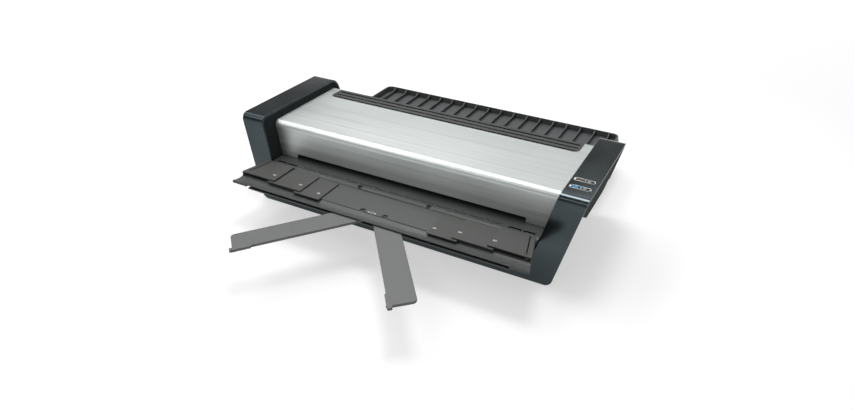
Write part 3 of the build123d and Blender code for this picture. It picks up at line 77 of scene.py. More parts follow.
# Rounding of the CAD pieces' edges
JOIN_DISTANCE = 0.002 * MM
FLAT_ANGLE = math.radians(0.4)
SHARP_ANGLE = math.radians(32)
EDGE_WIDTHS = (
    (["front_frame"], 0.5 * MM),
    ([f"{side}_side_housing" for side in SIDES], 0.5 * MM),
    (GUIDES, 0.3 * MM),
    ([f"{side}_support_arm" for side in SIDES], 0.6 * MM),
    (["feed_tray", "entry_table", "exit_tray"], 0.25 * MM),
)

# New pieces
SMOOTH_ANGLE = math.radians(35)
PILL_SIDES = 48
RIM_STEPS = 2
DOME_SHARE = 0.16              # height of a low dome, as a share of its radius
DOME_RINGS = 12

# Touch strips. Drops are measured down from the top of the rim
GLASS_DROP = 0.12 * MM
GLASS_ROUND = 0.08 * MM
RIM_FOOT = 0.1 * MM            # above the underside of the glass
RIM_ROUND = 0.12 * MM
FIELD_GAP = 0.4 * MM           # from the lit field to the rim, both sides together
FIELD_START = -0.36            # shares of the strip's length, from its middle
FIELD_END = -0.08
FIELD_HEIGHT = 0.13 * MM
FIELD_ROUND = 0.04 * MM
FIELD_DROP = 0.2 * MM
BAR_HEIGHT = 0.1 * MM
BAR_DROP = 0.09 * MM
DIVIDER_LENGTH = 0.7 * MM
DIVIDER_WIDTH = 0.5            # share of the strip's width
DIVIDER_PLACE = 0.035          # share of the strip's length, from its middle
LINE_WIDTH = 0.55 * MM
# Length, place along as a share of the strip's length, place across
LINES = ((4.4 * MM, 0.22, 0.9 * MM), (2.6 * MM, 0.185, -0.9 * MM))
LAMP_RADIUS = 0.85 * MM
LAMP_SIDES = 20
LAMP_INSET = 1.9 * MM
LAMP_DROP = 0.14 * MM

# Size marks: text and distance from the guide's front edge, and each side's distance from its inner end
FONT_SHARE = 1.35              # font size over the height of a mark
LETTER_SWELL = 0.04 * MM
SIZE_MARKS = (("outer", "A3", 12.0 * MM), ("middle", "A4", 14.0 * MM), ("inner", "A5", 13.0 * MM))
MARK_INSETS = (("left", 9.0 * MM), ("right", 4.6 * MM))

# Swing mark, in its own XY
SWING_MARK_PLACE = (-2.5 * MM, -124.9 * MM)
HEAD_RADIUS = 1.5 * MM
HEAD_TURN = math.pi / 2 * 1.25
HEAD_PLACE = (4.6 * MM, -0.9 * MM)
ARC_START = (-4.3 * MM, -0.5 * MM, 0.0)
ARC_END = (-4.0 * MM, 0.1 * MM, 0.0)
ARC_CENTRE = (0.0, -7.0 * MM, 0.0)
ARC_SWEEP = math.radians(66)
ARC_STEPS = 14
DOT_RADIUS = 0.75 * MM
DOT_SIDES = 16
DOT_PLACE = (0.0, -2.2 * MM, 0.0)

# Rivets of the outer guides. Groove values are shares of the rivet's radius
RIVET_SIDES = 24
RIVET_X = 191.0 * MM
RIVET_INSET = 3.3 * MM
GROOVE_LEVEL = 0.12
GROOVE_WIDTH = 0.12
GROOVE_DEPTH = 0.05

# Pressure springs
SPRING_RADIUS = 4.0 * MM
WIRE_SIDES = 8
STEPS_PER_TURN = 20
LARGEST_HOLE = 12              # sides of a hole that is closed

# Blades of the mains inlet
BLADE_SIZE = (2.2 * MM, 15.5 * MM, 4.2 * MM)
BLADE_PITCH = 6.75 * MM
BLADE_INSET = 12.3 * MM
BLADE_DROP = 1.0 * MM
EARTH_RISE = 2.0 * MM
BLADE_ROUND = 0.4 * MM

# Stage: each lamp's size, place and what it is aimed at
LAMPS = (
    ("key", (2.0, 0.35), (-0.7, 0.22, 1.25), (0.0, 0.1, 0.05)),
    ("side", (0.4, 0.42), (-0.03, 0.15, 1.25), (0.2, 0.0, 0.05)),
    ("back", (3.2, 0.5), (-0.8, 0.9, 1.4), (0.0, 0.0, 0.05)),
    ("fill", (2.4, 0.16), (-0.35, -0.95, 1.25), (0.0, 0.0, 0.08)),
)
SENSOR_WIDTH = 36.0
NEAREST_SEEN = 0.02
FLOOR_SIZE = 25.0
FLOOR_CELLS = 8
FLOOR_WHITE = 1.04             # how white the lit floor looks near the object
FADE_START = 0.9
FADE_END = 3.0
EVEN_LIGHT_START = math.sin(math.radians(10))
EVEN_LIGHT_END = math.sin(math.radians(20))


# Values that a user would change
def colour_value(name, description, default):
    return bpy.props.FloatVectorProperty(
        name=name, description=description, subtype="COLOR", size=3, min=0.0, max=1.0, default=default
    )


def length_value(name, description, default):
    return bpy.props.FloatProperty(
        name=name, description=description, subtype="DISTANCE", unit="LENGTH", precision=5, default=default
    )


def share_value(name, description, default):
    return bpy.props.FloatProperty(
        name=name, description=description, subtype="FACTOR", min=0.0, max=1.0, default=default
    )


def power_value(name, description, default):
    return bpy.props.FloatProperty(name=name, description=description, default=default)


class LaminatorColours(bpy.types.PropertyGroup):
    band: colour_value("Band", "Dark metallic lacquer of the front frame and its caps", (0.05, 0.062, 0.066))
    cover: colour_value("Cover", "Brushed silver of the top cover", (0.55, 0.58, 0.57))
    shell: colour_value("Shell", "Black textured plastic of the housings", (0.018, 0.020, 0.021))
    table: colour_value("Table", "Grey plastic of the entry table", (0.037, 0.04, 0.04))
    tray: colour_value("Feed tray", "Grey plastic of the feed tray", (0.047, 0.05, 0.049))
    guide: colour_value("Guides", "Warm grey plastic of the paper guides", (0.044, 0.046, 0.043))
    arm: colour_value("Arms", "Mid grey plastic of the swing arms", (0.118, 0.122, 0.12))
    exit_tray: colour_value("Exit tray", "Dark grey plastic of the exit tray", (0.07, 0.074, 0.075))
    mark: colour_value("Marks", "White print on guides, feed tray and touch strips", (0.78, 0.79, 0.78))
    mode_light: colour_value("Mode light", "Lit field of the front touch strip", (0.025, 0.15, 0.30))
    power_light: colour_value("Power light", "Dim field of the rear touch strip", (0.10, 0.055, 0.025))


class LaminatorSizes(bpy.types.PropertyGroup):
    grain: length_value("Grain", "Size of one cell of the moulded texture", 0.55 * MM)
    grain_depth: length_value("Grain depth", "Depth of the moulded texture", 0.012 * MM)
    brush_width: length_value("Brush width", "Width of one line of the brushed cover", 0.22 * MM)
    brush_length: length_value("Brush length", "Length of one line of the brushed cover", 70 * MM)
    mark_height: length_value("Mark height", "Height of the printed size marks", 3.0 * MM)
    print_thickness: length_value("Print thickness", "How far print stands on the plastic", 0.03 * MM)
    strip_rim: length_value("Strip rim", "Width of the printed rim of a touch strip", 0.55 * MM)
    rivet_radius: length_value("Rivet radius", "Radius of the rivets of the outer guides", 1.15 * MM)
    wire_radius: length_value("Spring wire", "Radius of the wire of the pressure springs", 0.6 * MM)
    coil_turns: bpy.props.IntProperty(name="Spring turns", description="Turns of a pressure spring", default=5)


class LaminatorStudio(bpy.types.PropertyGroup):
    camera_place: bpy.props.FloatVectorProperty(
        name="Camera", description="Where the camera stands", subtype="TRANSLATION", unit="LENGTH",
        default=(0.37433, -0.71403, 0.49732),
    )
    camera_turn: bpy.props.FloatVectorProperty(
        name="Camera turn", description="How the camera is turned", subtype="EULER", unit="ROTATION",
        default=(math.radians(58.85049), math.radians(-1.02776), math.radians(27.68731)),
    )
    lens: bpy.props.FloatProperty(name="Lens", description="Focal length in millimetres", default=28.0)
    key_power: power_value("Key lamp", "Power of the overhead lamp", 9.0)
    side_power: power_value("Side lamp", "Power of the lamp over the right cap", 7.0)
    back_power: power_value("Back lamp", "Power of the rear lamp", 9.0)
    fill_power: power_value("Fill lamp", "Power of the front lamp", 4.0)
    ambient: share_value("Ambient", "Strength of the room's even light overhead", 0.25)
    floor: share_value("Floor", "How pale the floor is", 0.5)


# Nodes
def add(tree, kind, inputs=None, **settings):
    """New shader node. Inputs are values or sockets, by name or in order."""
    made = tree.nodes.new("ShaderNode" + kind)
    for key, value in settings.items():
        setattr(made, key, value)
    pairs = inputs.items() if isinstance(inputs, dict) else enumerate(inputs or ())
    for key, value in pairs:
        if isinstance(value, bpy.types.NodeSocket):
            tree.links.new(value, made.inputs[key])
        else:
            made.inputs[key].default_value = value
    return made


def maths(tree, operation, a, b):
    return add(tree, "Math", (a, b), operation=operation).outputs[0]


def plus(tree, a, b):
    return maths(tree, "ADD", a, b)


def times(tree, a, b):
    return maths(tree, "MULTIPLY", a, b)


def weighted(tree, *terms):
    """Sum of values, each times its weight."""
    total = None
    for value, weight in terms:
        term = times(tree, value, weight)
        total = term if total is None else plus(tree, total, term)
    return total


def feed(tree, shader, title, value):
    tree.links.new(value, shader.inputs[title])


def vector_maths(tree, operation, a, b):
    return add(tree, "VectorMath", (a, b) if b is not None else (a,), operation=operation)


def blend_colours(tree, factor, a, b):
    made = tree.nodes.new("ShaderNodeMix")
    made.data_type = "RGBA"
    for number, value in ((0, factor), (6, a), (7, b)):
        if isinstance(value, bpy.types.NodeSocket):
            tree.links.new(value, made.inputs[number])
        else:
            made.inputs[number].default_value = value
    return made.outputs[2]


def spread(tree, value, low, high, to_low=0.0, to_high=1.0):
    """Stretches a range of a value to another range, and holds it there."""
    made = add(tree, "MapRange", (value, low, high, to_low, to_high))
    made.clamp = True
    return made.outputs[0]


def noise(tree, vector, scale, detail=2.0, roughness=0.5):
    made = add(tree, "TexNoise", {"Vector": vector, "Scale": scale, "Detail": detail, "Roughness": roughness})
    return made.outputs["Fac"]


def effect(name, inputs, outputs):
    """Empty node group with its input and output nodes."""
    tree = bpy.data.node_groups.new(name, "ShaderNodeTree")
    for title, value in inputs:
        kind = "NodeSocketVector" if value is None else "NodeSocketFloat"
        socket = tree.interface.new_socket(name=title, in_out="INPUT", socket_type=kind)
        if value is not None:
            socket.default_value = value
    for title in outputs:
        tree.interface.new_socket(name=title, in_out="OUTPUT", socket_type="NodeSocketFloat")
    return tree, tree.nodes.new("NodeGroupInput").outputs, tree.nodes.new("NodeGroupOutput").inputs


def moulded_grain_effect():
    """Spark-eroded texture of moulded plastic."""
    tree, given, out = effect("moulded_grain", (("Vector", None), ("Size", 0.0005)), ("Height", "Tone"))
    scale = maths(tree, "DIVIDE", 1.0, given["Size"])
    coarse = noise(tree, given["Vector"], scale, 3.0, 0.6)
    fine = noise(tree, given["Vector"], times(tree, scale, 3.1), 1.0, 0.5)
    cells = add(tree, "TexVoronoi", {"Vector": given["Vector"], "Scale": scale}, feature="SMOOTH_F1")
    pits = cells.outputs["Distance"]
    tree.links.new(weighted(tree, (coarse, 0.55), (fine, 0.2), (pits, 0.3)), out["Height"])
    tree.links.new(spread(tree, coarse, 0.3, 0.7), out["Tone"])
    return tree


def brushed_lines_effect():
    """Lines along X, as a brush leaves them on metal, with some deeper ones."""
    inputs = (("Vector", None), ("Width", 0.0002), ("Length", 0.05))
    tree, given, out = effect("brushed_lines", inputs, ("Height", "Tone"))
    across = maths(tree, "DIVIDE", 1.0, given["Width"])
    along = maths(tree, "DIVIDE", 1.0, given["Length"])
    stretch = add(tree, "CombineXYZ", (along, across, across)).outputs[0]
    place = vector_maths(tree, "MULTIPLY", given["Vector"], stretch).outputs[0]
    fine = noise(tree, place, 1.0, 2.0, 0.6)
    middle = noise(tree, place, 0.17, 2.0, 0.5)
    broad = noise(tree, place, 0.035, 1.0, 0.5)
    tree.links.new(plus(tree, fine, times(tree, middle, 0.8)), out["Height"])
    tree.links.new(weighted(tree, (fine, 0.35), (middle, 0.4), (broad, 0.25)), out["Tone"])
    return tree


def handling_effect():
    """Soft patches and faint fine scratches where hands and sheets pass."""
    tree, given, out = effect("handling", (("Vector", None), ("Patch", 0.04)), ("Smudge", "Scratch"))
    scale = maths(tree, "DIVIDE", 1.0, given["Patch"])
    smudge = noise(tree, given["Vector"], scale, 4.0, 0.62)
    tree.links.new(spread(tree, smudge, 0.35, 0.68), out["Smudge"])
    turned = add(tree, "VectorRotate", {"Vector": given["Vector"], "Angle": 0.9}, rotation_type="Z_AXIS")
    drawn = vector_maths(tree, "MULTIPLY", turned.outputs[0], (90.0, 2600.0, 2600.0)).outputs[0]
    hair = noise(tree, drawn, 1.0, 0.0, 0.5)
    where = noise(tree, given["Vector"], times(tree, scale, 1.7), 1.0, 0.5)
    lines = times(tree, spread(tree, hair, 0.70, 0.76), spread(tree, where, 0.5, 0.65))
    tree.links.new(lines, out["Scratch"])
    return tree


def rubbed_edges_effect():
    """Where an outer edge is, out to a radius from it."""
    tree, given, out = effect("rubbed_edges", (("Radius", 0.0006), ("Vector", None)), ("Mask",))
    rounded = add(tree, "Bevel", {"Radius": given["Radius"]}, samples=4).outputs[0]
    facing = tree.nodes.new("ShaderNodeNewGeometry").outputs["Normal"]
    same = vector_maths(tree, "DOT_PRODUCT", rounded, facing).outputs["Value"]
    edge = spread(tree, same, 0.995, 0.86)
    broken = spread(tree, noise(tree, given["Vector"], 260.0, 2.0, 0.6), 0.3, 0.62, 0.25, 1.0)
    tree.links.new(times(tree, edge, broken), out["Mask"])
    return tree


def painted_corner_shade_effect():
    """Painted shade: where a surface lies close in a corner or under a neighbour, from ambient occlusion."""
    tree, given, out = effect("crevice", (("Reach", 0.004),), ("Mask",))
    open_sky = add(tree, "AmbientOcclusion", {"Distance": given["Reach"]}, samples=6).outputs["AO"]
    tree.links.new(spread(tree, open_sky, 0.35, 0.85, 1.0, 0.0), out["Mask"])
    return tree


EFFECTS = {
    "crevice": painted_corner_shade_effect,
    "moulded_grain": moulded_grain_effect,
    "brushed_lines": brushed_lines_effect,
    "handling": handling_effect,
    "rubbed_edges": rubbed_edges_effect,
}


def use(tree, name, inputs):
    """Places an effect in a material, and makes it the first time."""
    group = bpy.data.node_groups.get(name) or EFFECTS[name]()
    made = tree.nodes.new("ShaderNodeGroup")
    made.node_tree = group
    for key, value in inputs.items():
        if isinstance(value, bpy.types.NodeSocket):
            tree.links.new(value, made.inputs[key])
        else:
            made.inputs[key].default_value = value
    return made.outputs


def blank_material(name):
    material = bpy.data.materials.new(name)
    material.use_nodes = True
    tree = material.node_tree
    tree.nodes.clear()
    shader = tree.nodes.new("ShaderNodeBsdfPrincipled")
    out = tree.nodes.new("ShaderNodeOutputMaterial")
    tree.links.new(shader.outputs[0], out.inputs["Surface"])
    place = tree.nodes.new("ShaderNodeTexCoord").outputs["Object"]
    return material, tree, shader, place


def bump(tree, height, depth):
    return add(tree, "Bump", {"Height": height, "Distance": depth, "Strength": 1.0}).outputs[0]


def rgba(colour, share=1.0):
    """A colour with its alpha, darker for a share under 1 and lighter over 1."""
    return (colour[0] * share, colour[1] * share, colour[2] * share, 1.0)


def moulded_plastic(name, colour, roughness, grain, depth, wear=0.25, shine=0.4):
    """Plastic with a moulded texture, faint smudges, lighter, smoother edges, and painted shade in its corners.
    """
    material, tree, shader, place = blank_material(name)
    texture = use(tree, "moulded_grain", {"Vector": place, "Size": grain})
    hands = use(tree, "handling", {"Vector": place, "Patch": PLASTIC_PATCH})
    edge = use(tree, "rubbed_edges", {"Radius": PLASTIC_EDGE, "Vector": place})["Mask"]
    toned = blend_colours(tree, texture["Tone"], rgba(colour, 0.9), rgba(colour, 1.1))
    dusty = blend_colours(tree, times(tree, hands["Smudge"], 0.3), toned, rgba(colour, 1.3))
    pale = (colour[0] * 1.7 + 0.02, colour[1] * 1.7 + 0.02, colour[2] * 1.7 + 0.02, 1.0)
    worn = blend_colours(tree, times(tree, edge, wear), dusty, pale)
    # Painted shade: the colour darkens towards a fifth of itself in corners and under neighbouring parts
    corner = use(tree, "crevice", {"Reach": CORNER_REACH})["Mask"]
    shaded = blend_colours(tree, times(tree, corner, PAINTED_CORNER_SHADE), worn, rgba(colour, 0.2))
    feed(tree, shader, "Base Color", shaded)
    rough = plus(tree, roughness - SMUDGE_ROUGHNESS / 2, times(tree, hands["Smudge"], SMUDGE_ROUGHNESS))
    rough = maths(tree, "SUBTRACT", rough, times(tree, edge, 0.12))
    feed(tree, shader, "Roughness", plus(tree, rough, times(tree, hands["Scratch"], 0.1)))
    shader.inputs["Specular IOR Level"].default_value = shine
    feed(tree, shader, "Normal", bump(tree, texture["Height"], depth))
    return material


def gloss_lacquer(name, colour, roughness, metal):
    """Gloss lacquer with a faint ripple, fine dust and smudges, with or without metal flakes under it."""
    material, tree, shader, place = blank_material(name)
    hands = use(tree, "handling", {"Vector": place, "Patch": LACQUER_PATCH})
    edge = use(tree, "rubbed_edges", {"Radius": LACQUER_EDGE, "Vector": place})["Mask"]
    dust = spread(tree, noise(tree, place, 1500.0, 0.0), 0.74, 0.8)
    toned = blend_colours(tree, hands["Smudge"], rgba(colour, 0.9), rgba(colour, 1.2))
    specked = blend_colours(tree, times(tree, dust, 0.05), toned, (0.2, 0.21, 0.21, 1.0))
    pale = (colour[0] + 0.10, colour[1] + 0.11, colour[2] + 0.115, 1.0)
    feed(tree, shader, "Base Color", blend_colours(tree, times(tree, edge, 0.4), specked, pale))
    rough = plus(tree, roughness, times(tree, hands["Smudge"], 0.07))
    feed(tree, shader, "Roughness", plus(tree, rough, times(tree, hands["Scratch"], 0.1)))
    shader.inputs["Metallic"].default_value = metal
    shader.inputs["Specular IOR Level"].default_value = 0.33
    ripple = noise(tree, place, 160.0, 1.0)
    feed(tree, shader, "Normal", bump(tree, ripple, 0.006 * MM))
    return material


def brushed_silver(name, colour, sizes):
    """Brushed cover: long lines along X in colour, roughness and surface."""
    material, tree, shader, place = blank_material(name)
    brush = {"Vector": place, "Width": sizes.brush_width, "Length": sizes.brush_length}
    lines = use(tree, "brushed_lines", brush)
    hands = use(tree, "handling", {"Vector": place, "Patch": SILVER_PATCH})
    edge = use(tree, "rubbed_edges", {"Radius": SILVER_EDGE, "Vector": place})["Mask"]
    tone = spread(tree, lines["Tone"], DARK_LINE, LIGHT_LINE)
    streaked = blend_colours(tree, tone, rgba(colour, 0.86), rgba(colour, 1.12))
    touched = blend_colours(tree, times(tree, hands["Smudge"], 0.12), streaked, rgba(colour, 0.85))
    worn = blend_colours(tree, times(tree, edge, 0.4), touched, rgba(colour, 1.35))
    feed(tree, shader, "Base Color", worn)
    shader.inputs["Metallic"].default_value = 0.9
    rough = plus(tree, 0.34, times(tree, tone, 0.1))
    feed(tree, shader, "Roughness", plus(tree, rough, times(tree, hands["Smudge"], 0.05)))
    feed(tree, shader, "Normal", bump(tree, lines["Height"], 0.010 * MM))
    return material


def plain_metal(name, colour, roughness, line_width, line_length, depth, spots=0.0):
    """Turned, drawn or rolled metal with lines, tarnish and bright edges."""
    material, tree, shader, place = blank_material(name)
    lines = use(tree, "brushed_lines", {"Vector": place, "Width": line_width, "Length": line_length})
    edge = use(tree, "rubbed_edges", {"Radius": METAL_EDGE, "Vector": place})["Mask"]
    tarnish = spread(tree, noise(tree, place, 90.0, 4.0, 0.65), 0.4, 0.7)
    tone = spread(tree, lines["Tone"], DARK_LINE, LIGHT_LINE)
    toned = blend_colours(tree, tone, rgba(colour, 0.82), rgba(colour, 1.1))
    dull = blend_colours(tree, times(tree, tarnish, 0.35), toned, rgba(colour, 0.6))
    if spots:
        flakes = add(tree, "TexVoronoi", {"Vector": place, "Scale": 140.0}, feature="F1").outputs["Color"]
        grey = add(tree, "RGBToBW", (flakes,)).outputs[0]
        dull = blend_colours(tree, times(tree, grey, spots), dull, rgba(colour, 1.3))
    feed(tree, shader, "Base Color", blend_colours(tree, times(tree, edge, 0.5), dull, rgba(colour, 1.3)))
    shader.inputs["Metallic"].default_value = 1.0
    rough = plus(tree, roughness, times(tree, tarnish, 0.15))
    feed(tree, shader, "Roughness", rough)
    feed(tree, shader, "Normal", bump(tree, lines["Height"], depth))
    return material


def soft_rubber(name, colour, roughness, grain, depth):
    """Rubber or silicone: matt, a little dusty, with a fine skin."""
    material, tree, shader, place = blank_material(name)
    texture = use(tree, "moulded_grain", {"Vector": place, "Size": grain})
    hands = use(tree, "handling", {"Vector": place, "Patch": RUBBER_PATCH})
    toned = blend_colours(tree, texture["Tone"], rgba(colour, 0.85), rgba(colour, 1.15))
    pale = (colour[0] + 0.05, colour[1] + 0.05, colour[2] + 0.05, 1.0)
    feed(tree, shader, "Base Color", blend_colours(tree, times(tree, hands["Smudge"], 0.35), toned, pale))
    feed(tree, shader, "Roughness", plus(tree, roughness, times(tree, hands["Smudge"], 0.12)))
    shader.inputs["Specular IOR Level"].default_value = 0.3
    feed(tree, shader, "Normal", bump(tree, texture["Height"], depth))
    return material


def board_mask(name):
    """Green solder mask over copper tracks."""
    material, tree, shader, place = blank_material(name)
    cells = add(tree, "TexVoronoi", {"Vector": place, "Scale": 260.0}, feature="DISTANCE_TO_EDGE")
    tracks = spread(tree, cells.outputs["Distance"], 0.10, 0.14, 1.0, 0.0)
    weave = add(tree, "TexWave", {"Vector": place, "Scale": 900.0, "Distortion": 1.0}).outputs["Fac"]
    base = blend_colours(tree, times(tree, weave, 0.3), (0.012, 0.075, 0.03, 1.0), (0.02, 0.11, 0.045, 1.0))
    feed(tree, shader, "Base Color", blend_colours(tree, tracks, base, (0.05, 0.22, 0.07, 1.0)))
    feed(tree, shader, "Roughness", spread(tree, weave, 0.0, 1.0, 0.28, 0.42))
    feed(tree, shader, "Normal", bump(tree, tracks, 0.03 * MM))
    return material


def printed(name, colour):
    """Pad-printed ink with tiny pinholes."""
    material, tree, shader, place = blank_material(name)
    specks = spread(tree, noise(tree, place, 3000.0, 1.0), 0.3, 0.5, 0.75, 1.0)
    feed(tree, shader, "Base Color", blend_colours(tree, specks, rgba(colour, 0.7), rgba(colour)))
    feed(tree, shader, "Roughness", spread(tree, specks, 0.75, 1.0, 0.6, 0.45))
    return material


def lit_field(name, colour, strength):
    """Field of a touch strip with a lamp behind it, brighter in some patches than in others."""
    material, tree, shader, place = blank_material(name)
    glow = spread(tree, noise(tree, place, 320.0, 2.0), 0.25, 0.75, 0.55, 1.15)
    tint = blend_colours(tree, times(tree, glow, 0.85), rgba(colour, 0.45), rgba(colour, 1.15))
    feed(tree, shader, "Base Color", tint)
    feed(tree, shader, "Emission Color", tint)
    shader.inputs["Emission Strength"].default_value = strength
    shader.inputs["Roughness"].default_value = 0.25
    return material


FINISHES = {}


def recipes():
    """Each finish's maker and the values that it takes after the finish's name."""
    colours = bpy.context.scene.laminator_colours
    sizes = bpy.context.scene.laminator_sizes
    grain, deep = sizes.grain, sizes.grain_depth
    fine = grain * 0.8
    return {
        # Colour, roughness, metal
        "band_gloss": (gloss_lacquer, colours.band, 0.17, 1.0),
        "strip_glass": (gloss_lacquer, (0.006, 0.008, 0.010), 0.07, 0.0),
        # Colour, roughness, grain, depth of the grain, wear, shine
        "shell_texture": (moulded_plastic, colours.shell, 0.7, grain, deep * 1.6, 0.3, 0.03),
        "grille_plastic": (moulded_plastic, (0.03, 0.032, 0.032), 0.42, grain, deep, 0.6, 0.5),
        "table_plastic": (moulded_plastic, colours.table, 0.46, fine, deep, 0.25, 0.45),
        "tray_plastic": (moulded_plastic, colours.tray, 0.46, fine, deep, 0.25, 0.45),
        "guide_plastic": (moulded_plastic, colours.guide, 0.5, fine, deep),
        "arm_plastic": (moulded_plastic, colours.arm, 0.48, fine, deep),
        "exit_plastic": (moulded_plastic, colours.exit_tray, 0.45, grain, deep * 1.3, 0.35),
        "white_nylon": (moulded_plastic, (0.62, 0.61, 0.56), 0.4, grain, deep * 0.7, 0.1),
        # Colour, roughness, grain, depth of the grain
        "foot_rubber": (soft_rubber, (0.016, 0.016, 0.017), 0.75, 0.8 * MM, 0.03 * MM),
        "roller_silicone": (soft_rubber, (0.34, 0.075, 0.035), 0.5, 1.2 * MM, 0.01 * MM),
        # Colour, roughness, width, length and depth of a line, spots
        "screw_black": (plain_metal, (0.075, 0.075, 0.08), 0.38, 0.1 * MM, 2 * MM, 0.004 * MM),
        "plate_steel": (plain_metal, (0.5, 0.51, 0.52), 0.32, 0.3 * MM, 30 * MM, 0.004 * MM, 0.35),
        "rod_steel": (plain_metal, (0.56, 0.56, 0.57), 0.22, 0.15 * MM, 20 * MM, 0.003 * MM),
        "heater_aluminium": (plain_metal, (0.62, 0.62, 0.63), 0.3, 0.25 * MM, 60 * MM, 0.006 * MM),
        "gear_brass": (plain_metal, (0.62, 0.42, 0.14), 0.26, 0.12 * MM, 4 * MM, 0.004 * MM),
        "spring_wire": (plain_metal, (0.42, 0.42, 0.43), 0.25, 0.1 * MM, 3 * MM, 0.002 * MM),
        # Colour, strength of the lamp behind it
        "mode_field": (lit_field, colours.mode_light, 0.35),
        "power_field": (lit_field, colours.power_light, 0.1),
        "strip_lamp": (lit_field, (0.9, 0.92, 0.95), 1.2),
        "cover_silver": (brushed_silver, colours.cover, sizes),
        "print_white": (printed, colours.mark),
        "board_green": (board_mask,),
    }


def finish(name):
    """The finish of that name, made the first time it is asked for."""
    if name not in FINISHES:
        maker, *values = recipes()[name]
        FINISHES[name] = maker(name, *values)
    return FINISHES[name]


def paint_nodes(name, nodes):
    material = finish(name)
    for node in nodes:
        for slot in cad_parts[node].material_slots:
            slot.material = material


# Rounding of the CAD pieces' sharp edges, by modifiers alone
def shell_tidier():
    """Joins a piece's loose triangles and shades it smooth up to its sharp edges."""
    name = "join_and_smooth"
    tree = bpy.data.node_groups.get(name)
    if tree:
        return tree
    tree = bpy.data.node_groups.new(name, "GeometryNodeTree")
    tree.interface.new_socket(name="Geometry", in_out="INPUT", socket_type="NodeSocketGeometry")
    tree.interface.new_socket(name="Geometry", in_out="OUTPUT", socket_type="NodeSocketGeometry")
    given = tree.nodes.new("NodeGroupInput")
    out = tree.nodes.new("NodeGroupOutput")
    merge = tree.nodes.new("GeometryNodeMergeByDistance")
    merge.inputs["Distance"].default_value = JOIN_DISTANCE
    drop = tree.nodes.new("GeometryNodeRemoveAttribute")
    drop.inputs["Name"].default_value = "custom_normal"
    smooth = tree.nodes.new("GeometryNodeSetShadeSmooth")
    smooth.domain = "FACE"
    sharp = tree.nodes.new("GeometryNodeSetShadeSmooth")
    sharp.domain = "EDGE"
    sharp.inputs["Shade Smooth"].default_value = False
    angle = tree.nodes.new("GeometryNodeInputMeshEdgeAngle")
    steep = tree.nodes.new("FunctionNodeCompare")
    steep.inputs[1].default_value = SHARP_ANGLE
    tree.links.new(given.outputs[0], merge.inputs["Geometry"])
    tree.links.new(merge.outputs[0], drop.inputs["Geometry"])
    tree.links.new(drop.outputs[0], smooth.inputs["Geometry"])
    tree.links.new(smooth.outputs[0], sharp.inputs["Geometry"])
    tree.links.new(angle.outputs["Unsigned Angle"], steep.inputs[0])
    tree.links.new(steep.outputs[0], sharp.inputs["Selection"])
    tree.links.new(sharp.outputs[0], out.inputs[0])
    return tree


def round_edges(nodes, width):
    """Rounds the outer edges of CAD pieces by modifiers, so their meshes stay as they are."""
    for node in nodes:
        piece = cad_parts[node]
        joined = piece.modifiers.new("join", "NODES")
        joined.node_group = shell_tidier()
        flat = piece.modifiers.new("flat", "DECIMATE")
        flat.decimate_type = "DISSOLVE"
        flat.angle_limit = FLAT_ANGLE
        flat.delimit = {"SHARP"}
        edge = piece.modifiers.new("edge", "BEVEL")
        edge.width = width
        edge.segments = 2
        edge.limit_method = "ANGLE"
        edge.angle_limit = SHARP_ANGLE
        edge.use_clamp_overlap = False
        edge.harden_normals = True
        edge.miter_outer = "MITER_ARC"


# Building new pieces
def finish_piece(bm, name, body, material, smooth=True):
    """Makes an object of a bmesh that is already in its place, and hangs it on a body."""
    bmesh.ops.recalc_face_normals(bm, faces=bm.faces[:])
    mesh = bpy.data.meshes.new(name)
    bm.to_mesh(mesh)
    bm.free()
    if smooth:
        mesh.shade_smooth()
        mesh.set_sharp_from_angle(angle=SMOOTH_ANGLE)
    piece = bpy.data.objects.new(name, mesh)
    bpy.context.scene.collection.objects.link(piece)
    mesh.materials.append(finish(material))
    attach(piece, body)
    return piece


def pill_face(bm, length, width):
    """Flat pill in XY round the origin."""
    turn = Matrix.Rotation(math.pi / PILL_SIDES, 4, "Z")
    made = bmesh.ops.create_circle(bm, cap_ends=True, radius=width / 2, segments=PILL_SIDES, matrix=turn)
    for vert in made["verts"]:
        vert.co.x += math.copysign((length - width) / 2, vert.co.x)
    return made["verts"][0].link_faces[0]


def raise_faces(bm, faces, height):
    made = bmesh.ops.extrude_face_region(bm, geom=faces)
    verts = [v for v in made["geom"] if isinstance(v, bmesh.types.BMVert)]
    bmesh.ops.translate(bm, verts=verts, vec=(0.0, 0.0, height))


def soften_rim(bm, width):
    """Rounds the sharp edges of a bmesh."""
    edges = [e for e in bm.edges if len(e.link_faces) == 2 and e.calc_face_angle() > SMOOTH_ANGLE]
    bmesh.ops.bevel(bm, geom=edges, offset=width, offset_type="OFFSET", affect="EDGES", segments=RIM_STEPS,
                    profile=0.5, material=-1, clamp_overlap=True)


def pill_block(bm, length, width, low, high, rim):
    face = pill_face(bm, length, width)
    bmesh.ops.translate(bm, verts=face.verts[:], vec=(0.0, 0.0, low))
    raise_faces(bm, [face], high - low)
    soften_rim(bm, rim)


def move_all(bm, place):
    bmesh.ops.transform(bm, matrix=place, verts=bm.verts[:])


def box_block(bm, size, place):
    """Box of a size, centred on a place."""
    made = bmesh.ops.create_cube(bm, size=1.0)
    bmesh.ops.scale(bm, verts=made["verts"], vec=size)
    bmesh.ops.translate(bm, verts=made["verts"], vec=place)


def low_dome(bm, radius, sides):
    """Ball round the origin, pressed flat to a low dome."""
    bmesh.ops.create_uvsphere(bm, u_segments=sides, v_segments=DOME_RINGS, radius=radius)
    bmesh.ops.scale(bm, verts=bm.verts[:], vec=(1.0, 1.0, DOME_SHARE))


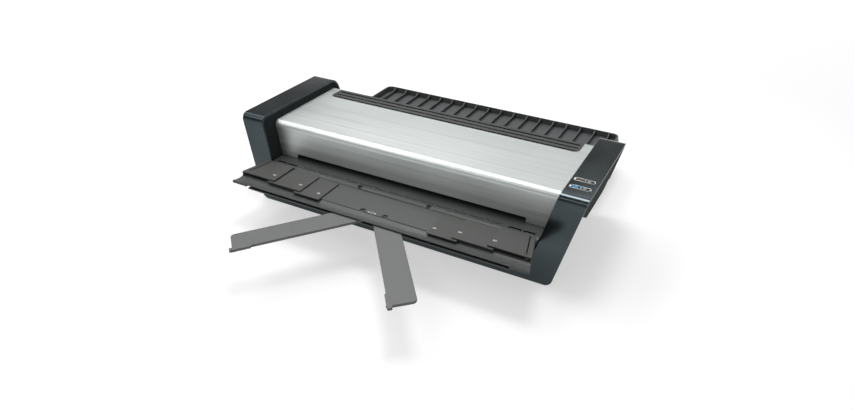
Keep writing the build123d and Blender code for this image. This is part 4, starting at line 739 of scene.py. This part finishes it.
class LAMINATOR_OT_finishes(bpy.types.Operator):
    """Give every CAD piece its finish"""

    bl_idname = "laminator.finishes"
    bl_label = "Finish the CAD pieces"

    def execute(self, context):
        rollers = [f"{row}_{level}" for row in ("front", "rear") for level in ("lower", "upper")]
        paint_nodes("band_gloss", ["front_frame", "switch_rocker"])
        paint_nodes("cover_silver", ["top_cover"])
        paint_nodes("shell_texture", ["left_side_housing", "right_side_housing", "rear_cover", "base_pan",
                                      "mains_inlet", "switch_housing", "fan_frame", "fan_impeller"])
        paint_nodes("grille_plastic", ["top_grille"])
        paint_nodes("table_plastic", ["entry_table"])
        paint_nodes("tray_plastic", ["feed_tray", "feed_tray_base"])
        paint_nodes("guide_plastic", GUIDES)
        paint_nodes("arm_plastic", [f"{side}_support_arm" for side in SIDES])
        paint_nodes("exit_plastic", ["exit_tray"])
        paint_nodes("foot_rubber", ["rubber_feet"])
        paint_nodes("roller_silicone", [f"{r}_roller" for r in rollers])
        paint_nodes("rod_steel", [f"{r}_shaft" for r in rollers] + ["tie_rods", "idler_stud", "exit_tray_pins",
                                                                    "feed_tray_hinge_pins"])
        paint_nodes("white_nylon", [f"{r}_gear" for r in rollers] + ["idler_gear", "roller_bushes",
                                                                     "thermal_fuse"])
        paint_nodes("plate_steel", ["left_side_plate", "right_side_plate", "motor_body"])
        paint_nodes("heater_aluminium", ["upper_heating_plate", "lower_heating_plate"])
        paint_nodes("gear_brass", ["motor_pinion"])
        paint_nodes("screw_black", ["cover_screws", "table_screws", "arm_pivot_screws"])
        paint_nodes("board_green", ["control_board", "power_board"])
        return {"FINISHED"}


class LAMINATOR_OT_edges(bpy.types.Operator):
    """Round the sharp edges of the casing, the trays, the guides and the arms"""

    bl_idname = "laminator.edges"
    bl_label = "Round the edges"

    def execute(self, context):
        for nodes, width in EDGE_WIDTHS:
            round_edges(nodes, width)
        return {"FINISHED"}


class LAMINATOR_OT_touch_strips(bpy.types.Operator):
    """Build the two touch strips on the right end cap"""

    bl_idname = "laminator.touch_strips"
    bl_label = "Touch strips"

    def execute(self, context):
        rim = context.scene.laminator_sizes.strip_rim
        for node, field in (("mode_touch_strip", "mode_field"), ("power_touch_strip", "power_field")):
            low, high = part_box(node)
            length = high.x - low.x
            width = high.y - low.y
            top = high.z
            place = Matrix.Translation(((low.x + high.x) / 2, (low.y + high.y) / 2, 0.0))
            glass = bmesh.new()
            pill_block(glass, length, width, low.z, top - GLASS_DROP, GLASS_ROUND)
            move_all(glass, place)
            body = finish_piece(glass, node + "_glass", "housing", "strip_glass")
            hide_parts(node)
            ring = bmesh.new()
            outer = pill_face(ring, length, width)
            bmesh.ops.translate(ring, verts=outer.verts[:], vec=(0.0, 0.0, low.z + RIM_FOOT))
            bmesh.ops.inset_region(ring, faces=[outer], thickness=rim, use_even_offset=True, use_boundary=True)
            bmesh.ops.delete(ring, geom=[outer], context="FACES_ONLY")
            raise_faces(ring, ring.faces[:], top - low.z - RIM_FOOT)
            soften_rim(ring, RIM_ROUND)
            move_all(ring, place)
            finish_piece(ring, node + "_rim", "housing", "print_white")
            lit = bmesh.new()
            across = width - 2 * rim - FIELD_GAP
            self.window(lit, length - 2 * rim, across, FIELD_START * length, FIELD_END * length)
            raise_faces(lit, lit.faces[:], FIELD_HEIGHT)
            soften_rim(lit, FIELD_ROUND)
            move_all(lit, place @ Matrix.Translation((0.0, 0.0, top - FIELD_DROP)))
            finish_piece(lit, node + "_field", "housing", field)
            marks = bmesh.new()
            level = top - BAR_DROP
            divider = (DIVIDER_LENGTH, width * DIVIDER_WIDTH, BAR_HEIGHT)
            box_block(marks, divider, (length * DIVIDER_PLACE, 0.0, level))
            for line, along, aside in LINES:
                box_block(marks, (line, LINE_WIDTH, BAR_HEIGHT), (length * along, aside, level))
            move_all(marks, place)
            finish_piece(marks, node + "_marks", "housing", "print_white", smooth=False)
            lamp = bmesh.new()
            low_dome(lamp, LAMP_RADIUS, LAMP_SIDES)
            move_all(lamp, place @ Matrix.Translation((LAMP_INSET - length / 2, 0.0, top - LAMP_DROP)))
            finish_piece(lamp, node + "_lamp", "housing", "strip_lamp")
        return {"FINISHED"}

    def window(self, bm, length, width, start, end):
        """The stretch of a pill from start to end along X."""
        pill_face(bm, length, width)
        for x, way in ((start, -1.0), (end, 1.0)):
            parts = bm.verts[:] + bm.edges[:] + bm.faces[:]
            bmesh.ops.bisect_plane(bm, geom=parts, plane_co=(x, 0.0, 0.0), plane_no=(way, 0.0, 0.0),
                                   clear_outer=True)


def size_mark(text, name, body, centre):
    """Printed size mark lying on a level face."""
    sizes = bpy.context.scene.laminator_sizes
    curve = bpy.data.curves.new(name, "FONT")
    curve.body = text
    curve.size = sizes.mark_height * FONT_SHARE
    curve.align_x = "CENTER"
    curve.align_y = "CENTER"
    curve.extrude = sizes.print_thickness / 2
    curve.offset = LETTER_SWELL
    source = bpy.data.objects.new(name + "_source", curve)
    bpy.context.scene.collection.objects.link(source)
    bpy.context.view_layer.update()
    mesh = bpy.data.meshes.new_from_object(source)
    bpy.data.objects.remove(source)
    mesh.transform(Matrix.Translation(centre))
    mesh.materials.clear()
    mesh.materials.append(finish("print_white"))
    mesh.name = name
    piece = bpy.data.objects.new(name, mesh)
    bpy.context.scene.collection.objects.link(piece)
    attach(piece, body)


class LAMINATOR_OT_marks(bpy.types.Operator):
    """Print the paper size marks on the guides and the swing mark on the feed tray"""

    bl_idname = "laminator.marks"
    bl_label = "Printed marks"

    def execute(self, context):
        thick = context.scene.laminator_sizes.print_thickness
        for level, text, forward in SIZE_MARKS:
            for side, inset in MARK_INSETS:
                node = f"{side}_{level}_guide"
                low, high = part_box(node)
                x = low.x + inset if side == "right" else high.x - inset
                body = "feed_tray_assembly" if level == "outer" else node
                centre = (x, low.y + forward, high.z + thick / 2)
                size_mark(text, f"{side}_{level}_size_mark", body, centre)
        self.swing_mark(thick)
        return {"FINISHED"}

    def swing_mark(self, thick):
        """Two arrow heads that point outward, joined by an arc: open the arms."""
        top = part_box("feed_tray")[1].z
        mark = bmesh.new()
        for side in (-1, 1):
            head = bmesh.ops.create_circle(mark, cap_ends=True, radius=HEAD_RADIUS, segments=3)
            place = Matrix.Translation((side * HEAD_PLACE[0], HEAD_PLACE[1], 0.0))
            turn = Matrix.Rotation(-side * HEAD_TURN, 4, "Z")
            bmesh.ops.transform(mark, matrix=place @ turn, verts=head["verts"])
        start = mark.verts.new(ARC_START)
        end = mark.verts.new(ARC_END)
        edge = mark.edges.new((start, end))
        bmesh.ops.spin(mark, geom=[start, end, edge], cent=ARC_CENTRE, axis=(0.0, 0.0, -1.0), angle=ARC_SWEEP,
                       steps=ARC_STEPS)
        dot = bmesh.ops.create_circle(mark, cap_ends=True, radius=DOT_RADIUS, segments=DOT_SIDES)
        bmesh.ops.translate(mark, verts=dot["verts"], vec=DOT_PLACE)
        raise_faces(mark, mark.faces[:], thick)
        move_all(mark, Matrix.Translation((*SWING_MARK_PLACE, top)))
        finish_piece(mark, "swing_arm_mark", "feed_tray_assembly", "print_white", smooth=False)


class LAMINATOR_OT_fittings(bpy.types.Operator):
    """Build the rivets, the pressure springs and the blades of the mains inlet"""

    bl_idname = "laminator.fittings"
    bl_label = "Small fittings"

    def execute(self, context):
        sizes = context.scene.laminator_sizes
        self.guide_rivets(sizes.rivet_radius)
        self.springs(sizes.wire_radius, sizes.coil_turns)
        self.inlet_blades()
        return {"FINISHED"}

    def guide_rivets(self, radius):
        """Low domed rivet at the rear outer corner of each outer guide."""
        for side, sign in (("left", -1), ("right", 1)):
            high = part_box(f"{side}_outer_guide")[1]
            dome = bmesh.new()
            low_dome(dome, radius, RIVET_SIDES)
            groove = [f for f in dome.faces if f.calc_center_median().z > GROOVE_LEVEL * radius]
            bmesh.ops.inset_region(dome, faces=groove, thickness=radius * GROOVE_WIDTH,
                                   depth=-radius * GROOVE_DEPTH)
            move_all(dome, Matrix.Translation((sign * RIVET_X, high.y - RIVET_INSET, high.z)))
            finish_piece(dome, f"{side}_guide_rivet", "feed_tray_assembly", "screw_black")

    def springs(self, wire, turns):
        """Coil springs over the upper shafts, in the room of the CAD node."""
        low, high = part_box("pressure_springs")
        coils = bmesh.new()
        radius = SPRING_RADIUS - wire
        height = high.z - low.z - 2 * wire
        steps = STEPS_PER_TURN * turns
        for x in (low.x + SPRING_RADIUS, high.x - SPRING_RADIUS):
            for y in (low.y + SPRING_RADIUS, high.y - SPRING_RADIUS):
                place = Matrix.Translation((x + radius, y, low.z + wire)) @ Matrix.Rotation(math.pi / 2, 4, "X")
                loop = bmesh.ops.create_circle(coils, radius=wire, segments=WIRE_SIDES, matrix=place)
                edges = {e for v in loop["verts"] for e in v.link_edges}
                bmesh.ops.spin(coils, geom=loop["verts"] + list(edges), cent=(x, y, 0.0), axis=(0.0, 0.0, 1.0),
                               dvec=(0.0, 0.0, height / steps), angle=2 * math.pi * turns, steps=steps)
        bmesh.ops.holes_fill(coils, edges=[e for e in coils.edges if e.is_boundary], sides=LARGEST_HOLE)
        piece = finish_piece(coils, "pressure_coils", "housing", "spring_wire")
        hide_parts("pressure_springs")

    def inlet_blades(self):
        """Three plated blades over the plastic ones of the mains inlet."""
        low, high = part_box("mains_inlet")
        middle = (low.x + high.x) / 2
        level = (low.z + high.z) / 2
        blades = bmesh.new()
        for number in (-1, 0, 1):
            z = level - BLADE_DROP + (EARTH_RISE if number == 0 else 0.0)
            box_block(blades, BLADE_SIZE, (middle + number * BLADE_PITCH, high.y - BLADE_INSET, z))
        soften_rim(blades, BLADE_ROUND)
        finish_piece(blades, "inlet_blades", "housing", "rod_steel")


class LAMINATOR_OT_stage(bpy.types.Operator):
    """Set up the pale floor, the soft lamps and the camera"""

    bl_idname = "laminator.stage"
    bl_label = "Floor, lamps and camera"

    def execute(self, context):
        studio = context.scene.laminator_studio
        self.floor(studio.floor)
        self.room(studio.ambient)
        for name, size, place, target in LAMPS:
            self.lamp(name + "_lamp", getattr(studio, name + "_power"), size, place, target)
        view = bpy.data.cameras.new("photo_camera")
        view.lens = studio.lens
        view.sensor_width = SENSOR_WIDTH
        view.clip_start = NEAREST_SEEN
        camera = bpy.data.objects.new("photo_camera", view)
        camera.location = studio.camera_place
        camera.rotation_euler = studio.camera_turn
        context.scene.collection.objects.link(camera)
        context.scene.camera = camera
        context.scene.view_settings.view_transform = "Standard"
        return {"FINISHED"}

    def seen(self, tree):
        """1 for what the camera sees, directly or in gloss or glass."""
        path = tree.nodes.new("ShaderNodeLightPath").outputs
        either = maths(tree, "MAXIMUM", path["Is Camera Ray"], path["Is Glossy Ray"])
        return maths(tree, "MAXIMUM", either, path["Is Transmission Ray"])

    def floor(self, pale):
        ground = bmesh.new()
        bmesh.ops.create_grid(ground, x_segments=FLOOR_CELLS, y_segments=FLOOR_CELLS, size=FLOOR_SIZE)
        mesh = bpy.data.meshes.new("floor")
        ground.to_mesh(mesh)
        ground.free()
        plane = bpy.data.objects.new("floor", mesh)
        bpy.context.scene.collection.objects.link(plane)
        material = bpy.data.materials.new("floor_paper")
        material.use_nodes = True
        tree = material.node_tree
        tree.nodes.clear()
        matt = add(tree, "BsdfDiffuse", {"Color": (pale, pale, pale, 1.0)})
        place = tree.nodes.new("ShaderNodeTexCoord").outputs["Object"]
        away = vector_maths(tree, "LENGTH", place, None).outputs["Value"]
        level = spread(tree, away, FADE_START, FADE_END, FLOOR_WHITE - pale)
        glow = add(tree, "Emission", {"Strength": times(tree, self.seen(tree), level)})
        both = add(tree, "AddShader", (matt.outputs[0], glow.outputs[0]))
        out = tree.nodes.new("ShaderNodeOutputMaterial")
        tree.links.new(both.outputs[0], out.inputs["Surface"])
        mesh.materials.append(material)

    def room(self, ambient):
        world = bpy.data.worlds.new("room")
        bpy.context.scene.world = world
        world.use_nodes = True
        tree = world.node_tree
        tree.nodes.clear()
        up = add(tree, "SeparateXYZ", (tree.nodes.new("ShaderNodeTexCoord").outputs["Generated"],)).outputs["Z"]
        strength = spread(tree, up, EVEN_LIGHT_START, EVEN_LIGHT_END, 1.0, ambient)
        back = add(tree, "Background", {"Color": (1.0, 1.0, 1.0, 1.0), "Strength": strength})
        out = tree.nodes.new("ShaderNodeOutputWorld")
        tree.links.new(back.outputs[0], out.inputs["Surface"])

    def lamp(self, name, power, size, place, target):
        light = bpy.data.lights.new(name, "AREA")
        light.shape = "RECTANGLE"
        light.size, light.size_y = size
        light.energy = power
        lamp = bpy.data.objects.new(name, light)
        lamp.location = place
        aim = Vector(target) - Vector(place)
        lamp.rotation_euler = aim.to_track_quat("-Z", "Y").to_euler()
        bpy.context.scene.collection.objects.link(lamp)


class LAMINATOR_PT_panel(bpy.types.Panel):
    bl_idname = "LAMINATOR_PT_panel"
    bl_label = "Laminator"
    bl_space_type = "VIEW_3D"
    bl_region_type = "UI"
    bl_category = "Laminator"

    def draw(self, context):
        layout = self.layout
        for name in GROUPS:
            group = getattr(context.scene, name)
            box = layout.box()
            for key in group.bl_rna.properties.keys():
                if key not in ("rna_type", "name"):
                    box.prop(group, key)
        for step in STEPS:
            layout.operator(step.bl_idname)


GROUPS = {
    "laminator_colours": LaminatorColours,
    "laminator_sizes": LaminatorSizes,
    "laminator_studio": LaminatorStudio,
}
STEPS = (
    LAMINATOR_OT_finishes,
    LAMINATOR_OT_edges,
    LAMINATOR_OT_touch_strips,
    LAMINATOR_OT_marks,
    LAMINATOR_OT_fittings,
    LAMINATOR_OT_stage,
)


def register():
    for kind in (*GROUPS.values(), *STEPS, LAMINATOR_PT_panel):
        bpy.utils.register_class(kind)
    for name, kind in GROUPS.items():
        setattr(bpy.types.Scene, name, bpy.props.PointerProperty(type=kind))


def unregister():
    for name in GROUPS:
        delattr(bpy.types.Scene, name)
    for kind in (LAMINATOR_PT_panel, *reversed(STEPS), *GROUPS.values()):
        bpy.utils.unregister_class(kind)


def main():
    register()
    for step in STEPS:
        group, name = step.bl_idname.split(".")
        getattr(getattr(bpy.ops, group), name)()


if __name__ == "__main__":
    main()
